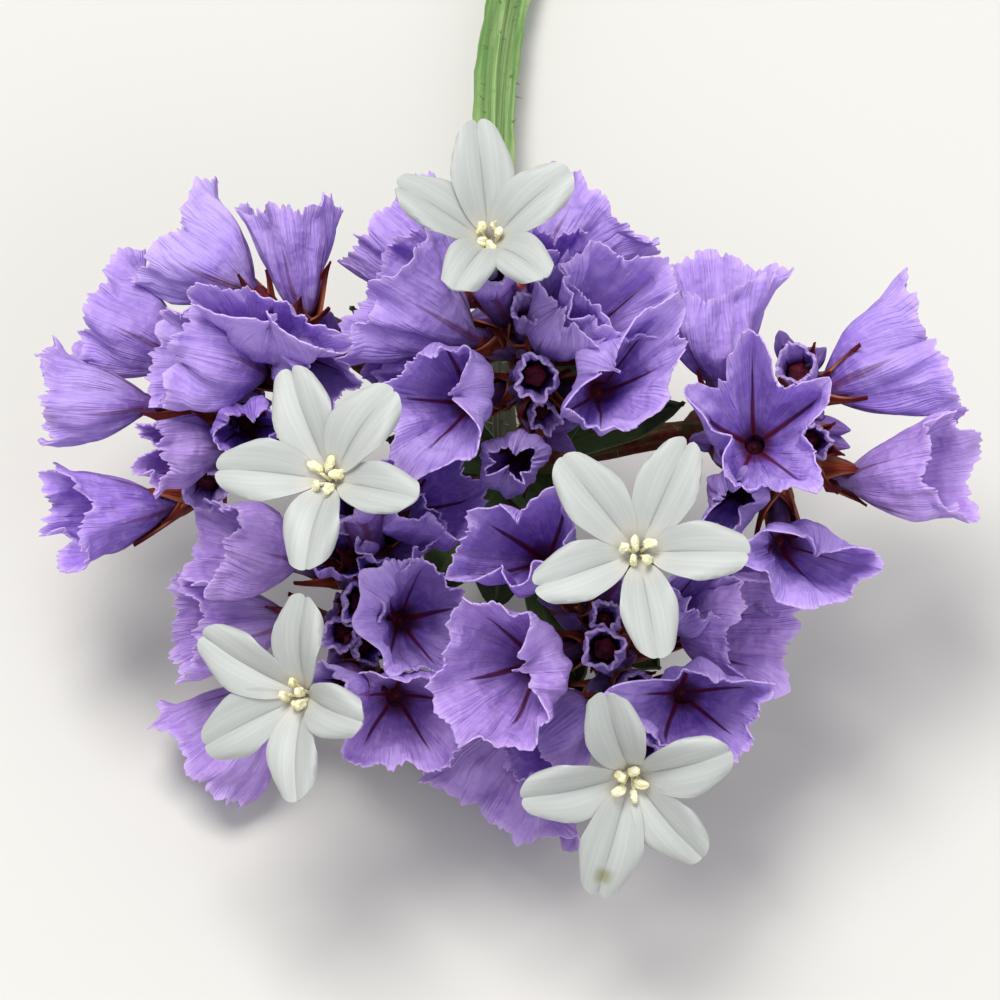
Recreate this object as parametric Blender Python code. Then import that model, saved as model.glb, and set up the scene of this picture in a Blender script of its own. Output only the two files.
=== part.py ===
"""A cut sprig of statice, lying on a surface with its flower head facing up and forwards.

Metres, +Z up. The sprig lies along Y, its cut stem end towards +Y. Its origin is the middle of its
footprint, on the surface. The flower head has a frame of its own: u to the right, v up across the
head's face and w out of that face. Sizes and places below are in millimetres.
"""

import math
import random

import bmesh
import bpy
from mathutils import Vector

MM = 0.001

# The head's frame in the sprig's
HEAD_ELEVATION = math.radians(60)
HEAD_AT = Vector((-0.4, -25.9, 16.15))
U = Vector((1, 0, 0))
V = Vector((0, math.sin(HEAD_ELEVATION), math.cos(HEAD_ELEVATION)))
W = U.cross(V)

# The calyx: a papery funnel of five pleats on a narrow tube. Its rim has two points to a lobe's side.
CALYX_WALL = 0.62
TUBE_BASE_R = 0.8
TUBE_THROAT_R = 1.15
THROAT_FLOOR = 0.4
PLEATS = 5
PLEAT_DEPTH = 0.13
RIM_POINTS = 4 * PLEATS
LOBE_RISE = 0.45
RIM_RAGGEDNESS = 0.35
BELLY_AT = 0.55
BELLY_OPENING = 0.66

# A bud is a narrow tube with a shallow bore, and so is the sleeve in which a corolla's tube stands
BUD_SIDES = 6
BUD_WALL = 0.45
BUD_BORE_DEPTH = 1.0
SLEEVE_SIDES = 8
SLEEVE_R = 1.5
SLEEVE_BORE_R = 0.88
SLEEVE_BORE_DEPTH = 2.2
SLEEVE_STRAIGHT = 3.0
SHOULDER_AT = 0.6
SHOULDER_NARROWER = 0.95
FOOT_NARROWER = 0.7

# The corolla: five notched petals on a tube, with five stamens in its throat. A petal's rows are
# shares of its length, each with its half width.
PETALS = 5
PETAL_LENGTH = 7.6
PETAL_FOLD = 0.3
PETAL_ROWS = ((0.0, 0.5), (0.3, 1.05), (0.64, 1.95), (0.89, 1.8), (1.0, 0.95))
PETAL_NOTCH_AT = 0.93
BLADE_THICKNESS = 0.6
COROLLA_ABOVE_SLEEVE = 1.9
COROLLA_TUBE_R = 0.56
COROLLA_TUBE_SUNK = 1.8
COROLLA_TUBE_SIDES = 8
COROLLA_THROAT_R = 1.0
COROLLA_THROAT_DEPTH = 0.9
STAMENS = 5
STAMEN_SIDES = 4
STAMEN_ROOT_DEPTH = 0.6
STAMEN_CIRCLE_R = 0.75
STAMEN_HEIGHT = 1.5
FILAMENT_R = 0.3
ANTHER_R = 0.5
ANTHER_LENGTH = 1.1

# The bract that hugs the foot of each calyx: it stands away from the tube towards its tip
BRACT_LENGTH = 5.0
BRACT_WIDTH = 2.2
BRACT_FOOT_WIDTH = 1.3
BRACT_THICKNESS = 0.7
BRACT_BELLY_AT = 0.45
BRACT_BELLY_OUT = 0.35
BRACT_TIP_OUT = 1.0

# The three-winged stem, its fork and its five branches
STEM_WING_R = 2.0
STEM_VALLEY_R = 0.95
WING_THICKNESS = 0.62
STEM_TAPER = 0.2
BRANCH_SCALE = 0.62
RACHIS_R = 1.15
RACHIS_SIDES = 6
RACHIS_TAPER = 0.25
RACHIS_STEPS = 2
ROOTS_PER_STRETCH = 12
FIRST_ROOT = 6
JOINT_GAP = 0.3
FORK = (-0.3, 2.0, -12.0)
FORK_BURIED = 0.6
STEM_END_X = 7.0
STEM_END_FROM_HEAD = 79.0
STEM_END_Z = 1.26
# Along the stem from its end, as shares of the way to the fork: how far it bends sideways
STEM_BENDS = ((0.25, -2.6), (0.5, -3.8), (0.8, -1.6))
STEM_STEPS = 5
LEAF_WING_ROWS = ((0.0, 0.6), (0.35, 1.0), (0.75, 0.7))

# Each spike's rachis is a line of points (u, v, w). Each calyx: throat, middle of the mouth, half
# width of the mouth, its flatness, and the direction in which it is widest, in degrees round the
# head's face from +u, or None for square to its lean. Each bud: middle of its mouth and its radius.
# Each flower: middle of its corolla, how far it leans off the head's axis, towards which direction,
# the direction of its first petal, and how far its petals rise.
SPIKES = {
    "left": {
        "rachis": (
            (-10.3, 10.3, -4.5), (-13.3, 11.3, -1.5), (-15.9, 10.1, -0.5),
            (-17.5, 7.5, -0.5), (-18.8, 4.7, -1.0), (-19.8, 0.8, -2.5),
        ),
        "calyces": (
            ((-17.1, 14.5, 0.5), (-22.6, 18.6, -1.5), 4.5, 0.6, None),
            ((-13.3, 12.8, 1.0), (-14.3, 20.0, 1.0), 2.6, 0.9, None),
            ((-21.6, 9.6, -1.5), (-28.0, 12.7, -2.5), 4.3, 0.6, None),
            ((-24.1, 6.5, 1.0), (-31.1, 6.9, 0.5), 3.4, 0.8, None),
            ((-16.1, 8.5, 4.0), (-22.0, 10.0, 7.5), 4.0, 0.7, 100),
            ((-15.9, 10.0, 4.0), (-15.2, 12.0, 10.3), 5.1, 0.45, -22),
            ((-19.1, 3.5, 2.5), (-23.3, 3.5, 7.0), 2.6, 0.8, 90),
            ((-23.0, -0.5, -1.0), (-30.2, -1.1, 0.5), 3.2, 0.8, None),
            ((-17.0, 5.0, 2.5), (-16.5, 4.7, 8.0), 2.2, 0.8, 0),
            ((-13.9, 9.7, 2.5), (-12.3, 8.2, 8.5), 2.7, 0.7, -30),
        ),
        "buds": (((-20.0, 0.8, 4.0), 1.3),),
        "flowers": (),
    },
    "top": {
        "rachis": (
            (3.2, 3.0, -4.5), (2.5, 5.7, -0.8), (1.8, 8.7, 0.0),
            (1.1, 11.7, -0.8), (0.5, 13.7, -2.0),
        ),
        "calyces": (
            ((-3.1, 14.5, 0.0), (-7.8, 19.2, -2.0), 4.3, 0.6, None),
            ((-2.1, 11.0, 3.0), (-8.5, 14.4, 5.5), 4.7, 0.55, None),
            ((-3.3, 9.9, 0.5), (-8.9, 9.9, 2.4), 3.3, 0.6, None),
            ((-2.0, 6.5, 5.0), (-4.0, 7.0, 11.2), 4.2, 0.9, 30),
            ((1.3, 2.8, 2.3), (0.7, 2.4, 7.9), 2.4, 0.75, 0),
            ((3.0, 10.3, 3.5), (4.5, 13.1, 9.0), 2.8, 0.5, 110),
            ((3.0, 14.8, 0.0), (7.0, 20.4, -1.0), 4.6, 0.5, None),
            ((3.0, 13.3, 1.5), (4.4, 16.9, 5.5), 2.3, 0.7, 0),
            ((5.2, 10.8, 3.0), (8.1, 14.0, 7.8), 4.0, 0.75, 15),
            ((6.7, 7.3, 5.0), (8.1, 8.8, 11.3), 5.2, 0.45, 46),
        ),
        "buds": (((2.5, 8.3, 8.6), 1.5), ((2.0, 12.8, 7.0), 0.95), ((3.0, 5.5, 5.5), 0.9)),
        "flowers": (((-0.7, 16.8, 12.0), 27, 90, 97, 40),),
    },
    "right": {
        "rachis": (
            (13.3, 4.7, -4.5), (16.0, 3.2, -1.0), (19.0, 2.1, -0.5),
            (20.5, 4.7, -0.5), (20.5, 7.7, -1.5), (19.7, 9.5, -2.0),
        ),
        "calyces": (
            ((14.8, 8.0, 0.3), (14.4, 15.6, 0.6), 4.3, 0.75, None),
            ((17.1, 3.7, 5.0), (17.5, 5.3, 11.3), 5.2, 0.8, 95),
            ((22.1, 7.5, 0.5), (29.4, 10.9, 0.0), 5.0, 0.55, None),
            ((23.7, 1.3, 1.5), (30.8, 2.5, 4.0), 3.8, 0.8, None),
            ((19.0, -3.0, 3.0), (21.5, -3.8, 8.8), 4.4, 0.5, -16),
            ((16.3, 0.7, 2.5), (15.2, -0.1, 8.0), 2.3, 0.8, 30),
        ),
        "buds": (((20.0, 9.2, 4.0), 1.3), ((21.3, 4.0, 4.5), 1.1)),
        "flowers": (),
    },
    "lower_left": {
        "rachis": (
            (-7.2, -1.0, -4.5), (-8.7, -4.0, -1.0), (-9.9, -8.0, -0.5),
            (-10.8, -12.0, -1.0), (-11.3, -13.7, -2.5),
        ),
        "calyces": (
            ((-6.6, -8.1, 3.0), (-4.7, -7.7, 8.3), 3.8, 0.75, 90),
            ((-7.0, -13.3, 3.0), (-6.4, -14.9, 9.0), 4.0, 0.85, -10),
            ((-14.7, -8.1, 0.5), (-21.8, -8.8, 2.0), 3.3, 0.8, None),
            ((-15.5, -13.3, -2.6), (-20.6, -18.0, -5.0), 4.4, 0.6, None),
            ((-13.9, -4.1, 2.5), (-19.0, -2.7, 6.0), 3.9, 0.75, 100),
            ((-10.3, -4.0, 1.5), (-11.0, -3.0, 6.5), 2.4, 0.8, 0),
            ((-8.1, -2.7, 1.5), (-6.5, -1.9, 6.5), 2.7, 0.8, 60),
            ((-6.5, -0.8, 1.0), (-4.4, 0.8, 6.0), 3.6, 0.75, 45),
        ),
        "buds": (((-9.2, -6.9, 7.8), 1.3), ((-10.8, -9.0, 5.5), 1.0), ((-8.7, -10.0, 5.5), 0.95)),
        "flowers": (((-11.0, 1.2, 13.0), 28, 140, 114, 20), ((-12.7, -12.9, 12.4), 36, 180, 147, 23)),
    },
    "lower_right": {
        "rachis": (
            (4.0, -6.0, -4.5), (6.0, -8.0, -1.0), (7.5, -11.0, -0.5),
            (8.7, -14.0, -1.0), (9.3, -16.0, -2.5),
        ),
        "calyces": (
            ((3.0, -4.0, 4.4), (0.9, -2.8, 10.7), 4.9, 0.6, 20),
            ((2.4, -11.0, 6.4), (0.0, -11.5, 12.9), 5.0, 0.92, 100),
            ((5.7, -13.7, 1.5), (1.3, -17.0, 6.0), 3.9, 0.7, None),
            ((2.7, -15.1, -1.6), (-0.9, -21.5, -2.7), 5.3, 0.5, None),
            ((12.3, -13.1, 4.0), (13.9, -14.1, 10.0), 4.2, 0.75, -5),
            ((12.3, -8.7, 2.0), (18.0, -8.8, 5.5), 3.9, 0.8, None),
            ((11.0, -8.0, 2.5), (13.7, -6.0, 8.0), 2.9, 0.7, 35),
            ((13.3, -7.3, -1.0), (18.3, -5.7, 1.5), 3.2, 0.6, None),
        ),
        "buds": (((7.0, -10.0, 8.0), 1.5), ((7.1, -7.7, 6.0), 0.95), ((9.3, -12.7, 6.0), 1.1)),
        "flowers": (((9.1, -3.5, 13.0), 8, 96, -8, 18), ((8.7, -18.1, 11.0), 25, 260, 251, 21)),
    },
}

# Leafy wings that rise from the fork between the spikes: root, tip, half width
LEAF_WINGS = (
    ((-1.0, 2.5, -11.0), (-7.8, 4.2, -1.0), 1.3),
    ((-1.0, 4.0, -10.5), (-10.2, 13.2, -1.5), 1.2),
    ((2.0, 3.0, -11.0), (12.6, 6.6, -1.0), 1.3),
    ((0.5, 0.5, -11.0), (0.6, -6.4, -1.0), 1.3),
)

COLOURS = {
    "calyx": (0.36, 0.20, 0.72),
    "corolla": (0.86, 0.88, 0.83),
    "anther": (0.88, 0.84, 0.52),
    "bract": (0.20, 0.07, 0.04),
    "stem": (0.20, 0.36, 0.12),
}
ROUGHNESS = 0.6


def material(name):
    made = bpy.data.materials.new(name)
    made.use_nodes = True
    shader = made.node_tree.nodes["Principled BSDF"]
    shader.inputs["Base Color"].default_value = (*COLOURS[name], 1)
    shader.inputs["Roughness"].default_value = ROUGHNESS
    shader.inputs["Metallic"].default_value = 0.0
    return made


def head(u, v, w):
    """A point of the head's frame in the sprig's."""
    return HEAD_AT + U * u + V * v + W * w


def around_face(degrees):
    """A direction across the head's face, counted from +u towards +v."""
    turn = math.radians(degrees)
    return U * math.cos(turn) + V * math.sin(turn)


def lean(degrees, towards):
    """A direction that leans off the head's axis by degrees, towards a direction across its face."""
    tilt = math.radians(degrees)
    return W * math.cos(tilt) + around_face(towards) * math.sin(tilt)


def across(axis, wide):
    """Two directions square to axis, the first as near as can be to the wanted wide direction."""
    first = (wide - axis * wide.dot(axis)).normalized()
    return first, axis.cross(first)


def directions(axis, wide, count, turn=0.0):
    """Directions square to axis, evenly round it."""
    first, second = across(axis, wide)
    angles = [turn + math.tau * i / count for i in range(count)]
    return [first * math.cos(angle) + second * math.sin(angle) for angle in angles]


def tangent(path, place):
    return (path[min(place + 1, len(path) - 1)] - path[max(place - 1, 0)]).normalized()


def smooth_path(knots, steps):
    """Points along a smooth curve through the knots, steps to each stretch."""
    ends = [knots[0] * 2 - knots[1], *knots, knots[-1] * 2 - knots[-2]]
    path = []
    for a, b, c, d in zip(ends, ends[1:], ends[2:], ends[3:]):
        for step in range(steps):
            t = step / steps
            bend, twist = a * 2 - b * 5 + c * 4 - d, b * 3 - a - c * 3 + d
            path.append(b + ((c - a) * t + bend * t**2 + twist * t**3) / 2)
    return path + [knots[-1]]


def nearest(path, point):
    return min(path, key=lambda place: (place - point).length)


def closed_object(name, points, faces, finish):
    """A mesh object from points in the sprig's frame, with its faces turned outwards."""
    mesh = bpy.data.meshes.new(name)
    mesh.from_pydata([point * MM for point in points], [], faces)
    mesh.materials.append(MATERIALS[finish])
    shell = bmesh.new()
    shell.from_mesh(mesh)
    bmesh.ops.recalc_face_normals(shell, faces=shell.faces)
    shell.to_mesh(mesh)
    shell.free()
    made = bpy.data.objects.new(name, mesh)
    bpy.context.scene.collection.objects.link(made)
    return made


def strip(lower, upper):
    """Triangles between two rings of point numbers, where the upper has as many points or twice as many."""
    faces = []
    for i, here in enumerate(lower):
        after = lower[(i + 1) % len(lower)]
        if len(upper) == len(lower):
            above, above_after = upper[i], upper[(i + 1) % len(upper)]
            faces += [(here, after, above_after), (here, above_after, above)]
        else:
            first, middle, last = upper[2 * i], upper[2 * i + 1], upper[(2 * i + 2) % len(upper)]
            faces += [(here, middle, first), (here, after, middle), (after, last, middle)]
    return faces


def rings_object(name, rings, strips, caps, finish):
    """A closed object from rings of points: strips pair the rings to join, caps are the rings to close."""
    points, numbers = [], []
    for ring in rings:
        numbers.append(range(len(points), len(points) + len(ring)))
        points += ring
    faces = [face for lower, upper in strips for face in strip(numbers[lower], numbers[upper])]
    faces += [tuple(numbers[cap]) for cap in caps]
    return closed_object(name, points, faces, finish)


def drop_scraps(mesh):
    """Keeps a joined mesh's main shell, and drops loose scraps and the shells of sealed hollows."""
    shell = bmesh.new()
    shell.from_mesh(mesh)
    unseen, groups = set(shell.verts), []
    while unseen:
        group, edge = set(), [unseen.pop()]
        while edge:
            vertex = edge.pop()
            group.add(vertex)
            near = {link.other_vert(vertex) for link in vertex.link_edges} & unseen
            unseen -= near
            edge += near
        groups.append(group)
    main = max(groups, key=len)
    bmesh.ops.delete(shell, geom=[vertex for vertex in shell.verts if vertex not in main], context="VERTS")
    shell.to_mesh(mesh)
    shell.free()


def fuse(name, parts):
    """One object from overlapping closed parts, joined by a Boolean union."""
    body, others = parts[0], parts[1:]
    body.name = name
    gathered = bpy.data.collections.new(name + "_parts")
    bpy.context.scene.collection.children.link(gathered)
    for other in others:
        bpy.context.scene.collection.objects.unlink(other)
        gathered.objects.link(other)
    union = body.modifiers.new("union", "BOOLEAN")
    union.operation = "UNION"
    union.operand_type = "COLLECTION"
    union.collection = gathered
    union.solver = "MANIFOLD"
    union.material_mode = "TRANSFER"
    joined = bpy.data.meshes.new_from_object(body.evaluated_get(bpy.context.evaluated_depsgraph_get()))
    body.modifiers.clear()
    drop_scraps(joined)
    body.data = joined
    for other in others:
        bpy.data.objects.remove(other)
    bpy.data.collections.remove(gathered)


def oval(centre, first, second, half_width, half_depth, count):
    angles = [math.tau * i / count for i in range(count)]
    return [
        centre + first * (half_width * math.cos(angle)) + second * (half_depth * math.sin(angle))
        for angle in angles
    ]


def pleated_ring(centre, axis, wide, half_width, half_depth, lifts):
    """A ring with a peak at each of the calyx's ribs, each point lifted along the axis."""
    first, second = across(axis, wide)
    ring = []
    for i, lift in enumerate(lifts):
        angle = math.tau * i / len(lifts)
        swell = 1 + PLEAT_DEPTH * math.cos(PLEATS * angle)
        sideways = first * (half_width * swell * math.cos(angle))
        ring.append(centre + sideways + second * (half_depth * swell * math.sin(angle)) + axis * lift)
    return ring


def calyx(root, throat, mouth, half_width, flatness, degrees, chance):
    """A pleated funnel on a tube that is rooted in the rachis."""
    tube_axis, limb_axis = (throat - root).normalized(), (mouth - throat).normalized()
    bend_axis = (tube_axis + limb_axis).normalized()
    wide = W.cross(limb_axis) if degrees is None else around_face(degrees)
    half_depth = half_width * flatness
    belly = throat.lerp(mouth, BELLY_AT)
    belly_width = TUBE_THROAT_R + (half_width - TUBE_THROAT_R) * BELLY_OPENING
    belly_depth = TUBE_THROAT_R + (half_depth - TUBE_THROAT_R) * BELLY_OPENING
    floor, bore = throat + limb_axis * THROAT_FLOOR, TUBE_THROAT_R - CALYX_WALL
    level = [0.0] * (2 * PLEATS)
    rim = [
        LOBE_RISE * math.cos(PLEATS * math.tau * i / RIM_POINTS) + RIM_RAGGEDNESS * chance.uniform(-1, 1)
        for i in range(RIM_POINTS)
    ]
    rings = [
        oval(root, *across(tube_axis, wide), TUBE_BASE_R, TUBE_BASE_R, PLEATS),
        oval(throat, *across(bend_axis, wide), TUBE_THROAT_R, TUBE_THROAT_R, PLEATS),
        pleated_ring(belly, limb_axis, wide, belly_width, belly_depth, level),
        pleated_ring(mouth, limb_axis, wide, half_width, half_depth, rim),
        pleated_ring(mouth, limb_axis, wide, half_width - CALYX_WALL, half_depth - CALYX_WALL, rim),
        pleated_ring(belly, limb_axis, wide, belly_width - CALYX_WALL, belly_depth - CALYX_WALL, level),
        oval(floor, *across(bend_axis, wide), bore, bore, PLEATS),
    ]
    joins = ((0, 1), (1, 2), (2, 3), (3, 4), (5, 4), (6, 5))
    return rings_object("calyx", rings, joins, (0, 6), "calyx")


def hollow_tube(root, shoulder, mouth, radius, bore, depth, sides):
    """A narrow tube with a blind bore in its end."""
    tube_axis, end_axis = (shoulder - root).normalized(), (mouth - shoulder).normalized()
    first, second = across(end_axis, W.cross(end_axis))
    foot_r, shoulder_r = radius * FOOT_NARROWER, radius * SHOULDER_NARROWER
    rings = [
        oval(root, *across(tube_axis, first), foot_r, foot_r, sides),
        oval(shoulder, first, second, shoulder_r, shoulder_r, sides),
        oval(mouth, first, second, radius, radius, sides),
        oval(mouth, first, second, bore, bore, sides),
        oval(mouth - end_axis * depth, first, second, bore, bore, sides),
    ]
    return rings_object("tube", rings, ((0, 1), (1, 2), (2, 3), (3, 4)), (0, 4), "calyx")


def bract(root, axis, outwards):
    """A keeled, pointed bract that hugs the foot of a calyx."""
    side = axis.cross(outwards).normalized()
    seat = root + axis * TUBE_BASE_R + outwards * TUBE_BASE_R
    belly = seat + axis * (BRACT_LENGTH * BRACT_BELLY_AT) + outwards * BRACT_BELLY_OUT
    tip = seat + axis * BRACT_LENGTH + outwards * BRACT_TIP_OUT
    points = oval(seat, side, outwards, BRACT_FOOT_WIDTH / 2, BRACT_THICKNESS / 2, 4)
    points += oval(belly, side, outwards, BRACT_WIDTH / 2, BRACT_THICKNESS / 2, 4)
    faces = [(0, 1, 2, 3)] + strip(range(4), range(4, 8))
    faces += [(4 + i, 4 + (i + 1) % 4, 8) for i in range(4)]
    return closed_object("bract", points + [tip], faces, "bract")


def petal(centre, axis, outwards, rise):
    """A notched petal, folded along its middle, that rises from the corolla's throat."""
    side = axis.cross(outwards).normalized()
    along = outwards * math.cos(rise) + axis * math.sin(rise)
    up = along.cross(side)
    rows = []
    for share, half in PETAL_ROWS:
        edge = centre + along * (PETAL_LENGTH * share) + up * (PETAL_FOLD * half)
        middle = centre + along * (PETAL_LENGTH * min(share, PETAL_NOTCH_AT))
        rows += [edge - side * half, middle, edge + side * half]
    points = [point + up * (BLADE_THICKNESS / 2) for point in rows]
    points += [point - up * (BLADE_THICKNESS / 2) for point in rows]
    faces = []
    for corner in range(0, len(rows) - 3, 3):
        for a, slants_left in ((corner, True), (corner + 1, False)):
            b, c, d = a + 1, a + 4, a + 3
            cells = [(a, b, d), (b, c, d)] if slants_left else [(a, b, c), (a, c, d)]
            faces += cells + [tuple(len(rows) + i for i in reversed(cell)) for cell in cells]
    rim = [0, 1, *range(2, len(rows), 3), len(rows) - 2, *range(len(rows) - 3, 0, -3)]
    for a, b in zip(rim, rim[1:] + rim[:1]):
        faces.append((a, b, b + len(rows), a + len(rows)))
    return closed_object("petal", points, faces, "corolla")


def rod(name, path, radii, sides, finish):
    """A tapered rod along a path, with flat ends."""
    rings, side = [], V
    for i, point in enumerate(path):
        side, other = across(tangent(path, i), side)
        rings.append(oval(point, side, other, radii[i], radii[i], sides))
    joins = [(i, i + 1) for i in range(len(path) - 1)]
    return rings_object(name, rings, joins, (0, len(path) - 1), finish)


def stamen(centre, axis, outwards):
    """A filament with a plump anther at its tip, as one spindle."""
    foot = centre - axis * STAMEN_ROOT_DEPTH
    tip = centre + axis * (STAMEN_HEIGHT + ANTHER_LENGTH / 2) + outwards * STAMEN_CIRCLE_R
    neck, middle = tip - axis * ANTHER_LENGTH, tip - axis * (ANTHER_LENGTH / 2)
    radii = (FILAMENT_R, FILAMENT_R, ANTHER_R, FILAMENT_R)
    return rod("stamen", (foot, neck, middle, tip), radii, STAMEN_SIDES, "anther")


def winged_rod(name, path, scales, upwards):
    """A stem with three thin wings along it: one on top and two that it lies on."""
    rings = []
    for i, (point, scale) in enumerate(zip(path, scales)):
        axis = tangent(path, i)
        wings = directions(axis, upwards, 3)
        valleys = directions(axis, upwards, 3, turn=math.pi / 3)
        ring = []
        for wing, valley in zip(wings, valleys):
            edge = point + wing * (STEM_WING_R * scale)
            flank = axis.cross(wing) * (WING_THICKNESS / 2)
            ring += [edge - flank, edge + flank, point + valley * (STEM_VALLEY_R * scale)]
        rings.append(ring)
    joins = [(i, i + 1) for i in range(len(path) - 1)]
    return rings_object(name, rings, joins, (0, len(path) - 1), "stem")


def leaf_wing(root, tip, half_width):
    """A narrow green blade, thickest along its middle."""
    side, up = across((tip - root).normalized(), W.cross(tip - root))
    points = []
    for share, width in LEAF_WING_ROWS:
        points += oval(root.lerp(tip, share), side, up, half_width * width, BLADE_THICKNESS / 2, 4)
    faces = [(0, 1, 2, 3)] + strip(range(4), range(4, 8)) + strip(range(4, 8), range(8, 12))
    faces += [(8 + i, 8 + (i + 1) % 4, 12) for i in range(4)]
    return closed_object("leaf_wing", points + [tip], faces, "stem")


def spike(name, plan):
    """A one-sided spike: a rachis with calyces, buds, sleeves and bracts rooted in it.

    Returns the path of the green branch that carries it.
    """
    knots = [head(*FORK), *(head(*point) for point in plan["rachis"])]
    path = smooth_path(knots, RACHIS_STEPS)
    branch = path[:RACHIS_STEPS + 1]
    joint_axis = (branch[-1] - branch[-2]).normalized()
    start, second = branch[-1] + joint_axis * JOINT_GAP, branch[-1] + joint_axis * 2 * JOINT_GAP
    rachis = [start, second, *path[len(branch):]]
    radii = [RACHIS_R * (1 - RACHIS_TAPER * i / (len(rachis) - 1)) for i in range(len(rachis))]
    parts = [rod(name, rachis, radii, RACHIS_SIDES, "bract")]
    roots = smooth_path(knots[1:], ROOTS_PER_STRETCH)[FIRST_ROOT:]
    chance = random.Random(name)

    def rooted(to):
        """The nearest root on the rachis, given a bract in the direction of the tube that it carries."""
        root = nearest(roots, to)
        axis = (to - root).normalized()
        parts.append(bract(root, axis, directions(axis, U, 1, turn=chance.uniform(0, math.tau))[0]))
        return root

    for throat, mouth, half_width, flatness, degrees in plan["calyces"]:
        throat, mouth = head(*throat), head(*mouth)
        parts.append(calyx(rooted(throat), throat, mouth, half_width, flatness, degrees, chance))
    for mouth, radius in plan["buds"]:
        mouth = head(*mouth)
        root = rooted(mouth)
        bore, shoulder = radius - BUD_WALL, root.lerp(mouth, SHOULDER_AT)
        parts.append(hollow_tube(root, shoulder, mouth, radius, bore, BUD_BORE_DEPTH, BUD_SIDES))
    for centre, off_axis, towards, _, _ in plan["flowers"]:
        axis = lean(off_axis, towards)
        mouth = head(*centre) - axis * COROLLA_ABOVE_SLEEVE
        shoulder = mouth - axis * SLEEVE_STRAIGHT
        sizes = (SLEEVE_R, SLEEVE_BORE_R, SLEEVE_BORE_DEPTH, SLEEVE_SIDES)
        parts.append(hollow_tube(rooted(shoulder), shoulder, mouth, *sizes))
    fuse(name, parts)
    return branch


def corolla(name, centre, axis, first_petal, rise):
    """A white corolla with its stamens, whose tube stands in a sleeve."""
    foot = centre - axis * (COROLLA_ABOVE_SLEEVE + COROLLA_TUBE_SUNK)
    path = (foot, centre - axis * COROLLA_THROAT_DEPTH, centre + axis * (BLADE_THICKNESS / 4))
    radii = (COROLLA_TUBE_R, COROLLA_TUBE_R, COROLLA_THROAT_R)
    parts = [rod(name, path, radii, COROLLA_TUBE_SIDES, "corolla")]
    wide = around_face(first_petal)
    parts += [petal(centre, axis, out, rise) for out in directions(axis, wide, PETALS)]
    between = math.pi / STAMENS
    parts += [stamen(centre, axis, out) for out in directions(axis, wide, STAMENS, turn=between)]
    fuse(name, parts)


def stem(branches):
    """The winged stem from its cut end to the fork, with the branches and the leafy wings."""
    fork = head(*FORK)
    end = Vector((STEM_END_X, HEAD_AT.y + STEM_END_FROM_HEAD, STEM_END_Z))
    bends = [end.lerp(fork, share) + U * sideways for share, sideways in STEM_BENDS]
    path = smooth_path([end, *bends, fork + W * FORK_BURIED], STEM_STEPS)
    scales = [1 - STEM_TAPER * i / (len(path) - 1) for i in range(len(path))]
    parts = [winged_rod("stem", path, scales, Vector((0, 0, 1)))]
    parts += [winged_rod("branch", branch, [BRANCH_SCALE] * len(branch), W) for branch in branches]
    parts += [leaf_wing(head(*root), head(*tip), half_width) for root, tip, half_width in LEAF_WINGS]
    fuse("stem", parts)


for old in list(bpy.data.objects):
    bpy.data.objects.remove(old)
MATERIALS = {name: material(name) for name in COLOURS}

stem([spike("spike_" + name, plan) for name, plan in SPIKES.items()])
FLOWERS = [flower for plan in SPIKES.values() for flower in plan["flowers"]]
for number, (middle, off_axis, leans_to, petal_turn, petal_rise) in enumerate(FLOWERS, start=1):
    axis = lean(off_axis, leans_to)
    corolla(f"corolla_{number}", head(*middle), axis, petal_turn, math.radians(petal_rise))
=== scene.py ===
# %% [markdown]
# # A cut sprig of statice
#
# Statice is a seaside plant whose papery calyces keep their colour when dried. This lesson dresses the
# plain solids of one cut sprig, which lies on a surface with its flower head facing up and forwards.
# The solids say where each piece is. Each finer piece here is modelled once, copied, and bent to the
# place and size that the solids give it.

import math
import random

import bpy
import numpy as np
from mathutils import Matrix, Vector


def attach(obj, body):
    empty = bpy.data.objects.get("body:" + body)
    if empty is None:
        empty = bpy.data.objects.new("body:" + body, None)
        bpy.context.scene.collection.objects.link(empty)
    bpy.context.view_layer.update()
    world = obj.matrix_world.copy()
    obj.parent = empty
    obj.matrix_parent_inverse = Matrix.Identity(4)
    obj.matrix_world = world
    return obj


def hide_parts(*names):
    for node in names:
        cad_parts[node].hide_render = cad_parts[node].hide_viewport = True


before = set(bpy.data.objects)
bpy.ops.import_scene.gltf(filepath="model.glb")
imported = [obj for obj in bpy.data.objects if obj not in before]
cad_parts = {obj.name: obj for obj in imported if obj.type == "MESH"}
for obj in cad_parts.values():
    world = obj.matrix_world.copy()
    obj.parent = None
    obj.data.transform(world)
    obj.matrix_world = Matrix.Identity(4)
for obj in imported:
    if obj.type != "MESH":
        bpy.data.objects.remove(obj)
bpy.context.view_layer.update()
print("solids:", ", ".join(sorted(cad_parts)))

# %% [markdown]
# ## The head's own frame
#
# Every calyx and flower faces out of the flower head, not straight up. It is easier to place them in
# a frame of the head's own: u to the right, v up across the head's face and w out of it. Places in the
# lists below are in millimetres in that frame, as someone would measure them on the real head.

# %% Head frame
MM = 0.001
HEAD_ELEVATION = math.radians(60)
HEAD_AT = Vector((-0.4, -25.9, 16.15))
U = Vector((1, 0, 0))
V = Vector((0, math.sin(HEAD_ELEVATION), math.cos(HEAD_ELEVATION)))
W = U.cross(V)


def head(u, v, w):
    """A point of the head's frame in the sprig's, in millimetres."""
    return HEAD_AT + U * u + V * v + W * w


def around_face(degrees):
    """A direction across the head's face, counted from +u towards +v."""
    turn = math.radians(degrees)
    return U * math.cos(turn) + V * math.sin(turn)


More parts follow.
